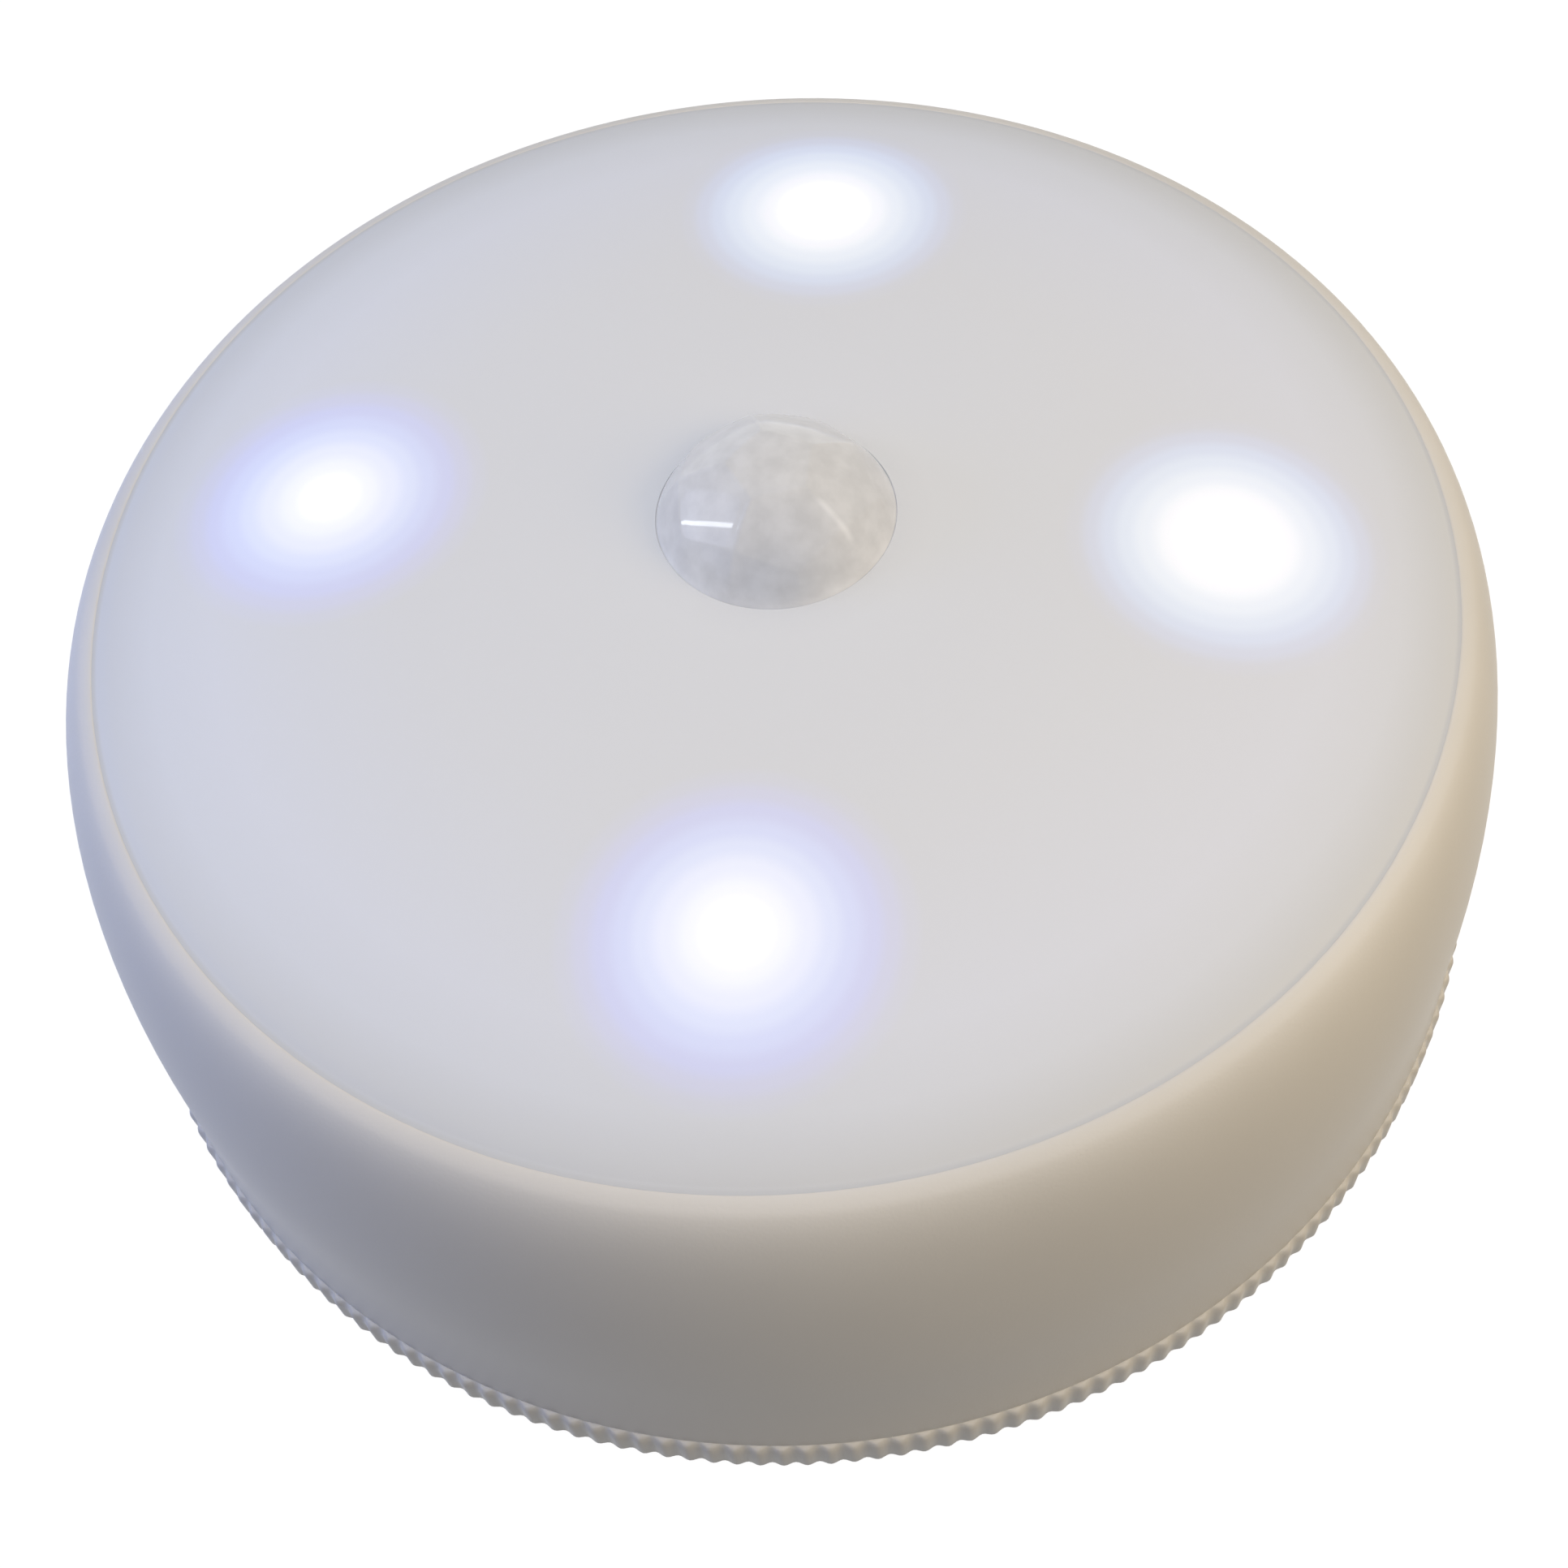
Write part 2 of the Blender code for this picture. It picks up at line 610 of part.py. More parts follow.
def make_underside_components(chip_material, capacitor_material):
    """The controller, the LED driver, the regulator and the electrolytic capacitor."""
    column_x = -(tray_half_x + SIDE_SPACING + CHIP_WIDTH / 2)
    chip_y = -(COMPONENT_SPACING + CHIP_LENGTH) / 2
    capacitor_y = COMPONENT_SPACING / 2 + CAPACITOR_RADIUS
    regulator_y = capacitor_y + CAPACITOR_RADIUS + COMPONENT_SPACING + REGULATOR_LENGTH / 2
    transistor_x = column_x + REGULATOR_WIDTH / 2 + TRANSISTOR_SPACING + TRANSISTOR_WIDTH / 2
    packages = {
        "controller_chip": ((column_x, chip_y), (CHIP_WIDTH, CHIP_LENGTH)),
        "led_driver_transistor": ((transistor_x, regulator_y), (TRANSISTOR_WIDTH, TRANSISTOR_LENGTH)),
        "voltage_regulator": ((column_x, regulator_y), (REGULATOR_WIDTH, REGULATOR_LENGTH)),
    }
    package_low_z = under_board_z - CHIP_HEIGHT
    for name, (place, size) in packages.items():
        block(name, place, size, package_low_z, under_board_z, chip_material, COMPONENT_EDGE)
    low_z = under_board_z - CAPACITOR_HEIGHT
    neck = CAPACITOR_RADIUS - CAPACITOR_CRIMP
    crimp_z = under_board_z - 4 * CAPACITOR_CRIMP
    profile = [(0, under_board_z), (CAPACITOR_RADIUS, under_board_z), (CAPACITOR_RADIUS, crimp_z)]
    profile += [(neck, crimp_z - CAPACITOR_CRIMP), (CAPACITOR_RADIUS, crimp_z - 2 * CAPACITOR_CRIMP)]
    profile += [(CAPACITOR_RADIUS, low_z + CAPACITOR_CRIMP), (neck, low_z), (0, low_z)]
    place = (column_x, capacitor_y)
    lathe("smoothing_capacitor", profile, capacitor_material, SMALL_STEPS, place, closed=False)


def roof_outline():
    """The tray's roof in plan: a rectangle with a rounded ear on its right, far and left sides."""
    x, y = tray_half_x + TRAY_LIP, tray_half_y + TRAY_LIP
    corners = ((x, -y), (x, y), (-x, y))
    travels = ((0, 1), (-1, 0), (0, -1))
    outline = []
    for corner, travel, angle in zip(corners, travels, BOSS_ANGLES):
        along, outward = Vector(travel), Vector((travel[1], -travel[0]))
        centre = Vector(polar(boss_circle, angle))
        foot = centre + outward * outward.dot(Vector(corner) - centre)
        turns = [pi * i / (SMALL_STEPS / 2) - pi / 2 for i in range(SMALL_STEPS // 2 + 1)]
        outline += [corner, foot - along * (EAR_RADIUS + EAR_FLARE)]
        outline += [centre + (along * sin(turn) + outward * cos(turn)) * EAR_RADIUS for turn in turns]
        outline.append(foot + along * (EAR_RADIUS + EAR_FLARE))
    return [*outline, (-x, -y)]


def make_battery_tray(material):
    """Roof with three screw ears, walls round the cells, ribs between them and the button's guide."""
    holes = [circle(screw_hole_radius, polar(boss_circle, angle)) for angle in BOSS_ANGLES]
    tray = plate("battery_tray", [roof_outline(), *holes], roof_low_z, roof_top_z, material)
    middle_z = (roof_low_z + roof_top_z) / 2
    wall_outlines = [rectangle(tray_half_x, tray_half_y), rectangle(bay_side, bay_half)]
    join(tray, plate("tray_walls", wall_outlines, cell_low_z, middle_z))
    for number, column in enumerate(cell_columns[:-1], 1):
        place = (column + CELL_PITCH / 2, 0)
        size = (TRAY_RIB_THICKNESS, CELL_LENGTH / 2)
        join(tray, block(f"tray_rib_{number}", place, size, roof_low_z - TRAY_RIB_DEPTH, middle_z))
    half_height = SOLDER_TAB_HEIGHT / 2 + GAP
    for number, (column, end) in enumerate(terminal_places(), 1):
        place = (column, end * (bay_half + TRAY_WALL / 2))
        size = (SOLDER_TAB_WIDTH + 2 * GAP, TRAY_WALL + 2 * GAP)
        low_z, high_z = cell_axis_z - half_height, cell_axis_z + half_height
        cut(tray, block(f"tray_notch_{number}", place, size, low_z, high_z))
    return join_button_guide(tray)


def join_button_guide(tray):
    """A shelf beside the cells with the slot that the slide button runs in."""
    slot_half_x = BUTTON_WIDTH / 2 + GAP
    slot_half_y = BUTTON_LENGTH / 2 + SWITCH_TRAVEL + GAP
    start = tray_half_x - TRAY_WALL / 2
    end = switch_x + slot_half_x + GUIDE_MARGIN
    size = (end - start, 2 * (slot_half_y + GUIDE_MARGIN))
    shelf = block("guide_shelf", ((start + end) / 2, 0), size, guide_low_z, guide_top_z)
    slot = block(
        "guide_slot",
        (switch_x, 0),
        (2 * slot_half_x, 2 * slot_half_y),
        guide_low_z - OVERRUN,
        guide_top_z + OVERRUN,
    )
    return cut(join(tray, shelf), slot)


def make_slide_switch(body_material, lever_material, button_material):
    """Switch body under the board, its lever, and the button that stands in the base's window."""
    place = (switch_x, 0)
    body_size = (SWITCH_BODY_WIDTH, SWITCH_BODY_LENGTH)
    body_low_z = under_board_z - SWITCH_BODY_HEIGHT
    look = (body_material, COMPONENT_EDGE)
    body = block("switch_body", place, body_size, body_low_z, under_board_z, *look)
    slot_size = (LEVER_WIDTH + 2 * GAP, LEVER_LENGTH + 2 * SWITCH_TRAVEL + 2 * GAP)
    slot_top_z = body_low_z + SWITCH_SLOT_DEPTH
    cut(body, block("switch_slot", place, slot_size, body_low_z - OVERRUN, slot_top_z))
    lever_low_z = body_low_z - LEVER_REACH
    lever_top_z = slot_top_z - GAP
    block("switch_lever", place, (LEVER_WIDTH, LEVER_LENGTH), lever_low_z, lever_top_z, lever_material)
    button_low_z = plate_top_z + BUTTON_LIFT
    button_top_z = lever_low_z + BUTTON_SOCKET_OVERLAP
    button_size = (BUTTON_WIDTH, BUTTON_LENGTH)
    button = block("slide_button", place, button_size, button_low_z, button_top_z, button_material)
    collar_low_z = guide_top_z + GAP
    collar_size = (BUTTON_WIDTH + 2 * BUTTON_COLLAR, BUTTON_LENGTH + 2 * BUTTON_COLLAR)
    collar_top_z = collar_low_z + BUTTON_COLLAR_THICKNESS
    join(button, block("button_collar", place, collar_size, collar_low_z, collar_top_z))
    socket_size = (LEVER_WIDTH + 2 * GAP, LEVER_LENGTH + 2 * GAP)
    cut(button, block("button_socket", place, socket_size, lever_low_z - GAP, button_top_z + OVERRUN))
    for number in range(BUTTON_GROOVE_COUNT):
        offset = (number - (BUTTON_GROOVE_COUNT - 1) / 2) * BUTTON_LENGTH / (BUTTON_GROOVE_COUNT + 1)
        groove_size = (BUTTON_WIDTH + 2 * OVERRUN, BUTTON_GROOVE_WIDTH)
        groove_top_z = button_low_z + BUTTON_GROOVE_WIDTH
        groove_place = (switch_x, offset)
        groove_low_z = button_low_z - OVERRUN
        cut(button, block(f"button_groove_{number}", groove_place, groove_size, groove_low_z, groove_top_z))


def cell_direction(index):
    """+1 where a cell's nub points to +Y. Neighbours alternate, as cells in series do."""
    return 1 if index % 2 == 0 else -1


def terminal_places():
    """Column and end of the battery's two terminals: the first cell's nub, the last cell's spring."""
    first = (cell_columns[0], cell_direction(0))
    last = (cell_columns[-1], -cell_direction(CELL_COUNT - 1))
    return first, last


def lay_along_y(turned, column, direction):
    """Lays a piece that was turned about Z along the cells, with its top towards one end."""
    turned.rotation_euler.x = -pi / 2 * direction
    turned.location = (column, 0, cell_axis_z)


def make_cells(material):
    """Cells on their sides. The nub touches its plate and the flat end leaves room for a spring."""
    body_top = bay_half - 2 * GAP - CONTACT_THICKNESS - CELL_NUB_LENGTH
    body_low = body_top + CELL_NUB_LENGTH - CELL_LENGTH
    rim = CELL_RADIUS - CELL_EDGE
    profile = [(0, body_top + CELL_NUB_LENGTH), (CELL_NUB_RADIUS, body_top + CELL_NUB_LENGTH)]
    profile += [(CELL_NUB_RADIUS, body_top), (rim, body_top), (CELL_RADIUS, body_top - CELL_EDGE)]
    profile += [(CELL_RADIUS, body_low + CELL_EDGE), (rim, body_low), (0, body_low)]
    for index, column in enumerate(cell_columns):
        cell = lathe(f"battery_cell_{index + 1}", profile, material, PIECE_STEPS, closed=False)
        lay_along_y(cell, column, cell_direction(index))


def make_springs(material):
    """Conical springs between each cell's flat end and its contact plate."""
    start = bay_half - 2 * GAP - CONTACT_THICKNESS - SPRING_WIRE / 2
    length = SPRING_LENGTH - 2 * GAP - SPRING_WIRE
    count = SPRING_TURNS * SPRING_POINTS_PER_TURN
    for index, column in enumerate(cell_columns):
        side = -cell_direction(index)
        points = []
        for i in range(count + 1):
            share = i / count
            radius = SPRING_WIDE_RADIUS + (SPRING_NARROW_RADIUS - SPRING_WIDE_RADIUS) * share
            angle = TURN * SPRING_TURNS * share
            along = side * (start - length * share)
            points.append((column + radius * cos(angle), along, cell_axis_z + radius * sin(angle)))
        tube(f"battery_spring_{index + 1}", points, SPRING_WIRE, 1, material)


def make_contacts(material):
    """Two plates that bridge neighbouring cells, and two end plates with solder tabs."""
    middle_y = bay_half - GAP - CONTACT_THICKNESS / 2
    low_z = cell_axis_z - CONTACT_HEIGHT / 2
    high_z = cell_axis_z + CONTACT_HEIGHT / 2
    for index in range(CELL_COUNT - 1):
        side = -cell_direction(index)
        place = (cell_columns[index] + CELL_PITCH / 2, side * middle_y)
        size = (CELL_PITCH + CONTACT_WIDTH, CONTACT_THICKNESS)
        block(f"contact_bridge_{index + 1}", place, size, low_z, high_z, material)
    for name, (column, side) in zip(("contact_positive", "contact_negative"), terminal_places()):
        size = (CONTACT_WIDTH, CONTACT_THICKNESS)
        contact = block(name, (column, side * middle_y), size, low_z, high_z, material)
        reach = GAP + TRAY_WALL + SOLDER_TAB_REACH + CONTACT_THICKNESS
        tab_place = (column, side * (middle_y + reach / 2))
        tab_low = cell_axis_z - SOLDER_TAB_HEIGHT / 2
        tab_high = cell_axis_z + SOLDER_TAB_HEIGHT / 2
        tab = block(f"{name}_tab", tab_place, (SOLDER_TAB_WIDTH, reach), tab_low, tab_high)
        join(contact, tab)


def make_leads(red_material, black_material):
    """Insulated leads from the solder tabs up to the board, in a quarter turn."""
    start_y = bay_half + TRAY_WALL + SOLDER_TAB_REACH + CONTACT_THICKNESS / 2 + GAP
    rise = under_board_z - cell_axis_z
    names = (("battery_lead_red", red_material), ("battery_lead_black", black_material))
    for (name, material), (column, side) in zip(names, terminal_places()):
        points = []
        for i in range(LEAD_POINTS):
            turn = pi / 2 * i / (LEAD_POINTS - 1)
            along = start_y + LEAD_RUN_OUT * sin(turn)
            points.append((column, side * along, cell_axis_z + rise * (1 - cos(turn))))
        tube(name, points, LEAD_DIAMETER, LEAD_BEVEL_RESOLUTION, material)


def make_tray_screws(material):
    """Slotted screws through the tray's ears and the board into the housing's bosses."""
    head_top_z = roof_low_z - GAP
    head_low_z = head_top_z - SCREW_HEAD_HEIGHT
    shank_top_z = screw_tip_z - SCREW_SHANK_RADIUS
    profile = [(0, screw_tip_z), (SCREW_SHANK_RADIUS, shank_top_z), (SCREW_SHANK_RADIUS, head_top_z)]
    profile += [(SCREW_HEAD_RADIUS, head_top_z), (SCREW_HEAD_RADIUS, head_top_z - SCREW_HEAD_HEIGHT / 2)]
    profile += [(SCREW_HEAD_RADIUS - SCREW_HEAD_HEIGHT / 2, head_low_z), (0, head_low_z)]
    slot_size = (2 * SCREW_HEAD_RADIUS + 2 * OVERRUN, SCREW_SLOT_WIDTH)
    slot_heights = (head_low_z - OVERRUN, head_low_z + SCREW_SLOT_DEPTH)
    for number, angle in enumerate(BOSS_ANGLES, 1):
        place = polar(boss_circle, angle)
        screw = lathe(f"tray_screw_{number}", profile, material, SMALL_STEPS, place, closed=False)
        cut(screw, block(f"screw_slot_{number}", place, slot_size, *slot_heights, angle=angle))


def knurled_disc(name, material):
    """The base's disc: small teeth round its edge, chamfered at their top."""
    root_radius = rim_radius - TOOTH_DEPTH
    mesh = bpy.data.meshes.new(name)
    shape = bmesh.new()
    bmesh.ops.create_circle(shape, radius=root_radius, segments=TOOTH_CORNER_COUNT * TOOTH_COUNT)
    for corner in shape.verts:
        corner.co.xy = knurl_point(corner.co)
        corner.co.z = back_z
    crest = extrude_up(shape, shape.edges[:], rim_top_z - TOOTH_CHAMFER)
    top = extrude_up(shape, crest, rim_top_z)
    for corner in {corner for edge in top for corner in edge.verts}:
        corner.co.xy = corner.co.xy.normalized() * root_radius
    bmesh.ops.holes_fill(shape, edges=shape.edges)
    bmesh.ops.recalc_face_normals(shape, faces=shape.faces)
    shape.to_mesh(mesh)
    shape.free()
    return add_object(name, mesh, material)


def knurl_point(place):
    """Where a corner of the plain circle goes: crests and roots in turn, with a crest at angle 0."""
    angle = atan2(place.y, place.x)
    corner = round(angle / TURN * TOOTH_CORNER_COUNT * TOOTH_COUNT)
    crest = corner % TOOTH_CORNER_COUNT == 0
    return polar(rim_radius if crest else rim_radius - TOOTH_DEPTH, angle)


def extrude_up(shape, edges, height):
    """Extrudes a ring of edges and lifts the new ones to a height. Returns the new edges."""
    moved = bmesh.ops.extrude_edge_only(shape, edges=edges)["geom"]
    for corner in (item for item in moved if isinstance(item, bmesh.types.BMVert)):
        corner.co.z = height
    return [item for item in moved if isinstance(item, bmesh.types.BMEdge)]


def make_base(material):
    """Knurled back cover with its bayonet spigot, pad recess, screw holes and switch window."""
    base = knurled_disc("base_cover", material)
    pocket_radius = spigot_bore_radius - GAP
    ring_low_z = (back_z + plate_top_z) / 2
    ring = [(spigot_radius, spigot_top_z), (spigot_radius, ring_low_z)]
    ring += [(spigot_bore_radius, ring_low_z), (spigot_bore_radius, spigot_top_z)]
    join(base, lathe("spigot", ring))
    for number in range(BAYONET_COUNT):
        middle = TURN * number / BAYONET_COUNT
        inner = spigot_radius - SPIGOT_WALL / 2
        join(base, arc_block(f"lug_{number}", inner, lug_radius, middle, LUG_SPAN, lug_low_z, lug_top_z))
    cut(base, disc("plate_pocket", pocket_radius, plate_top_z, rim_top_z + OVERRUN, steps=BODY_STEPS))
    recess_low_z = back_z - OVERRUN
    cut(base, disc("pad_recess", recess_radius, recess_low_z, recess_floor_z, steps=BODY_STEPS))
    window_size = (2 * window_half_x, 2 * window_half_y)
    cut(base, block("switch_window", (switch_x, 0), window_size, recess_low_z, plate_top_z + OVERRUN))
    sink_radius = WALL_SCREW_HOLE_RADIUS + BASE_PLATE_THICKNESS / 2
    sink_low_z = plate_top_z - BASE_PLATE_THICKNESS / 2
    profile = [(0, rim_top_z), (sink_radius, rim_top_z), (sink_radius, plate_top_z)]
    profile += [(WALL_SCREW_HOLE_RADIUS, sink_low_z), (WALL_SCREW_HOLE_RADIUS, recess_low_z)]
    profile += [(0, recess_low_z)]
    for number, side in enumerate((-1, 1), 1):
        spot = (0, side * wall_screw_y)
        cut(base, lathe(f"wall_screw_hole_{number}", profile, None, SMALL_STEPS, spot, closed=False))
    return base


def build():
    white = make_material("housing_plastic", (0.72, 0.72, 0.71), 0.32)
    frosted = make_material("diffuser_plastic", (0.80, 0.81, 0.84), 0.45)
    milky = make_material("lens_plastic", (0.62, 0.63, 0.64), 0.25)
    black = make_material("black_plastic", (0.03, 0.03, 0.035), 0.5)
    grey = make_material("tray_plastic", (0.40, 0.41, 0.42), 0.5)
    laminate = make_material("board_laminate", (0.75, 0.77, 0.74), 0.4)
    tin = make_material("tinned_metal", (0.60, 0.60, 0.58), 0.3, metallic=1.0)
    steel = make_material("screw_steel", (0.50, 0.50, 0.51), 0.35, metallic=1.0)
    glass = make_material("filter_glass", (0.05, 0.04, 0.06), 0.1)
    ceramic = make_material("led_package", (0.82, 0.82, 0.80), 0.4)
    phosphor = make_material("led_phosphor", (0.95, 0.90, 0.55), 0.5, glow=2.0)
    resistor = make_material("resistor_body", (0.04, 0.04, 0.05), 0.4)
    cell_wrap = make_material("cell_wrap", (0.10, 0.13, 0.20), 0.3)
    tile = make_material("photocell_body", (0.70, 0.45, 0.30), 0.5)
    can_sleeve = make_material("capacitor_sleeve", (0.06, 0.07, 0.12), 0.4)
    foam = make_material("pad_foam", (0.16, 0.16, 0.17), 0.9)
    red = make_material("red_insulation", (0.55, 0.03, 0.03), 0.45)
    dark = make_material("black_insulation", (0.02, 0.02, 0.02), 0.45)

    make_front_housing(white)
    make_diffuser(frosted)
    make_lens(milky)
    make_lens_sleeve(black)
    make_board(laminate)
    make_infrared_sensor(tin, glass)
    make_leds(ceramic, phosphor, resistor)
    make_photocell(tile)
    make_underside_components(black, can_sleeve)
    make_battery_tray(grey)
    make_slide_switch(steel, black, black)
    make_cells(cell_wrap)
    make_springs(tin)
    make_contacts(tin)
    make_leads(red, dark)
    make_tray_screws(steel)
    make_base(white)
    disc("adhesive_pad", pad_radius, 0, PAD_THICKNESS, foam, BODY_STEPS)


clear_scene()
part = make_collection("motion_sensor_light")
cutters = make_collection("cutters")
build()
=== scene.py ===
"""Looks of the motion sensor light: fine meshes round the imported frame, its materials, light and camera."""

from collections import namedtuple
from math import acos, ceil, cos, exp, pi, radians, sin

import bmesh
import bpy
from mathutils import Matrix, Vector


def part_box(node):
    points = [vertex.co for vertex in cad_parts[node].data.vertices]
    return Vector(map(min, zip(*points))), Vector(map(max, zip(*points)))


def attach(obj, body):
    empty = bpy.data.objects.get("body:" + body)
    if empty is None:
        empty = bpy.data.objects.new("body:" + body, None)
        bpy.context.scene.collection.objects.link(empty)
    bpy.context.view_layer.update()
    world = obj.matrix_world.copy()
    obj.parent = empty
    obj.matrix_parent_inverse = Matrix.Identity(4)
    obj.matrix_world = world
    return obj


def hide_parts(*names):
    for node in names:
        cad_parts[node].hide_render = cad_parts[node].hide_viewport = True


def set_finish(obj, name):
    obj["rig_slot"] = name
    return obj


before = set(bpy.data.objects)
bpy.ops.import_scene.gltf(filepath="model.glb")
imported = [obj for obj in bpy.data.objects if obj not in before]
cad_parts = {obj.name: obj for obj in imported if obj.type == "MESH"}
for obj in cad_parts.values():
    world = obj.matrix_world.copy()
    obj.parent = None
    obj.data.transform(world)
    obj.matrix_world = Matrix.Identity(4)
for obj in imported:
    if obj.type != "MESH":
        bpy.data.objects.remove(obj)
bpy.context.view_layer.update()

# Names of the bodies that pieces ride on
HEAD = "head"
BASE = "base"

# Photograph and camera
PHOTO_SIDE = 1932
FOCAL_PIXELS = 2521
SHIFT_PIXELS = (174.5, -197.2)
SENSOR_WIDTH = 36.0
CAMERA_AZIMUTH = radians(10.74)
CAMERA_ELEVATION = radians(58.22)
CAMERA_ROLL = radians(-6.77)
CAMERA_DISTANCE = 0.13493
AIM_RIGHT = 0.00898
AIM_UP = 0.01028
CLIP_START = 0.002
CLIP_END = 20.0

# Facets of the fine meshes
ROUND_STEPS = 192
SMALL_STEPS = 48
CORNER_STEPS = 4
ARC_STEPS_MIN = 3
BEVEL_STEPS = 3
ROUND_PROFILE = 0.5
TURN = 2 * pi
SHARP_ANGLE = radians(38)

# Fits that show, finer than the clearances of the solids
GAP = 0.0003
FINE_GAP = 0.000004
JOINT_GAP = 0.00004
EDGE_ROUND = 0.0003
WALL_EDGE_ROUND = 0.00008
OVERRUN = 0.0008

# Shell
SHELL_THICKNESS = 0.0019
SHOULDER_WIDTH = 0.0042
SHOULDER_DROP = 0.0180
SHOULDER_STEPS = 40
WALL_DRAFT = 0.00034
WALL_STEPS = 8
LEDGE_WIDTH = 0.0015
LEDGE_THICKNESS = 0.0016
LIP_SHOULDER_STEP = 5
# Outward from the seat and upward from the face's edge
LIP_SHAPE = (
    (0.0, -0.00003),
    (0.00005, -0.00002),
    (0.00012, -0.00003),
    (0.00022, -0.000055),
    (0.00034, -0.000095),
    (0.00048, -0.000155),
    (0.00064, -0.00024),
)

# Diffuser
FACE_CROWN = 0.0026
FACE_POWER = 4
FACE_STEPS = 44
DIFFUSER_THICKNESS = 0.0016
SKIRT_THICKNESS = 0.0013
FACE_EDGE_WIDTH = 0.0007
# Inward from the face's edge and downward from its dome
FACE_EDGE_SHAPE = (
    (0.00055, 0.00002),
    (0.00040, 0.000045),
    (0.00026, 0.00006),
    (0.00014, 0.00006),
    (0.00005, 0.00004),
    (0.0, 0.00003),
)
SKIRT_BEAD = 0.0007
BEAD_HEIGHT = 0.0008

# Bayonet, bosses and base
BAYONET_COUNT = 3
BAYONET_REACH = 0.0013
BAYONET_CLEARANCE = 0.0005
TAB_LIFT = 0.0012
TAB_THICKNESS = 0.0016
TAB_SPAN = radians(25)
LUG_THICKNESS = 0.0012
LUG_SPAN = radians(20)
STOP_SPAN = radians(4)
SPIGOT_WALL = 0.0014
BOSS_RADIUS = 0.0030
BOSS_ANGLES = (radians(330), radians(90), radians(210))
PILOT_RADIUS = 0.0013
BASE_PLATE_THICKNESS = 0.0020
RIM_HEIGHT = 0.0026
TOOTH_COUNT = 208
TOOTH_POINTS = 8
TOOTH_DEPTH = 0.00018
# Inward from the rim, down from its top, and share of the teeth's depth
BEAD_SHAPE = (
    (0.00060, 0.0, 0.0),
    (0.00034, 0.00001, 0.4),
    (0.00022, 0.00004, 1.0),
    (0.00014, 0.00012, 1.15),
    (0.00007, 0.00026, 1.2),
    (0.00002, 0.00048, 1.1),
    (0.0, 0.00080, 1.0),
    (0.0, 0.00120, 1.0),
    (0.0, 0.00246, 1.0),
    (0.00004, 0.00256, 1.0),
    (0.00014, 0.00260, 0.9),
    (0.00060, 0.00260, 0.0),
)
WALL_SCREW_HOLE_RADIUS = 0.0020
WINDOW_MARGIN = 0.0008
PAD_RECESS_DEPTH = 0.0007
PAD_MARGIN = 0.0005

# Lens
LENS_RADIUS = 0.00655
LENS_EDGE_ANGLE = radians(68)
LENS_SHARP_ANGLE = radians(20)
LENS_SKIN = 0.0007
LENS_STEPS = 56
LENS_ROUND_STEPS = 192
LENS_INNER_SKIP = 4
LENS_FLANGE_THICKNESS = 0.0011
FACET_RINGS = ((5, radians(33), radians(-72)), (10, radians(63), radians(-90)))
FACET_SHARPNESS = 60
FACET_FLATNESS = 0.50
FACET_TANGENT = radians(11)
FACET_FADE = radians(22)
RIDGE_HEIGHT = 0.00003
RIDGE_SPREAD = 0.012

# Pad
PAD_SINK = 0.00006
PAD_EDGE_ROUND = 0.00035

# Window and wall screw holes in the base
BUTTON_WIDTH = 0.0042
BUTTON_LENGTH = 0.0052
SWITCH_TRAVEL = 0.0020
WALL_SCREW_MARGIN = 0.0065
SINK_WIDTH = 0.0010

# Glow of each LED in the frosted face: light added at a share of the glow's radius
GLOW_RADIUS = 0.0090
GLOW_SHIFTS = ((-0.0002, -0.0004), (0.0004, -0.0001), (-0.0002, 0.0004), (0.0006, -0.0005))
PALE_GLOW_STOPS = (
    (0.0, (0.60, 0.60, 0.60)),
    (0.22, (0.52, 0.52, 0.52)),
    (0.36, (0.31, 0.32, 0.34)),
    (0.50, (0.19, 0.23, 0.28)),
    (0.62, (0.11, 0.16, 0.235)),
    (0.72, (0.045, 0.09, 0.185)),
    (0.82, (0.010, 0.03, 0.10)),
    (0.92, (0.0, 0.003, 0.02)),
    (1.0, (0.0, 0.0, 0.0)),
)
VIOLET_GLOW_STOPS = (
    (0.0, (0.60, 0.60, 0.60)),
    (0.12, (0.46, 0.46, 0.46)),
    (0.24, (0.30, 0.31, 0.34)),
    (0.38, (0.20, 0.22, 0.32)),
    (0.50, (0.105, 0.14, 0.29)),
    (0.60, (0.04, 0.07, 0.25)),
    (0.72, (0.0, 0.01, 0.185)),
    (0.82, (0.0, 0.0, 0.10)),
    (0.92, (0.0, 0.0, 0.03)),
    (1.0, (0.0, 0.0, 0.0)),
)
GLOW_STOPS = (PALE_GLOW_STOPS, PALE_GLOW_STOPS, VIOLET_GLOW_STOPS, VIOLET_GLOW_STOPS)
# Faint light that comes through the whole face: (share of the radius, colour)
BACKLIGHT_STOPS = (
    (0.0, (0.066, 0.064, 0.066)),
    (0.173, (0.066, 0.064, 0.066)),
    (0.195, (0.085, 0.083, 0.086)),
    (0.23, (0.097, 0.095, 0.098)),
    (0.55, (0.097, 0.095, 0.100)),
    (0.82, (0.092, 0.096, 0.128)),
    (0.91, (0.065, 0.070, 0.092)),
    (0.97, (0.015, 0.016, 0.020)),
    (1.0, (0.0, 0.0, 0.0)),
)

# Colours and finishes
HOUSING_COLOUR = (0.66, 0.65, 0.635)
DIFFUSER_COLOUR = (0.582, 0.602, 0.638)
DIFFUSER_ROUGHNESS = 0.42
DIFFUSER_NOISE = (9000.0, 2.0)
DIFFUSER_BUMP = 0.05
DIFFUSER_GLOSS = 0.3
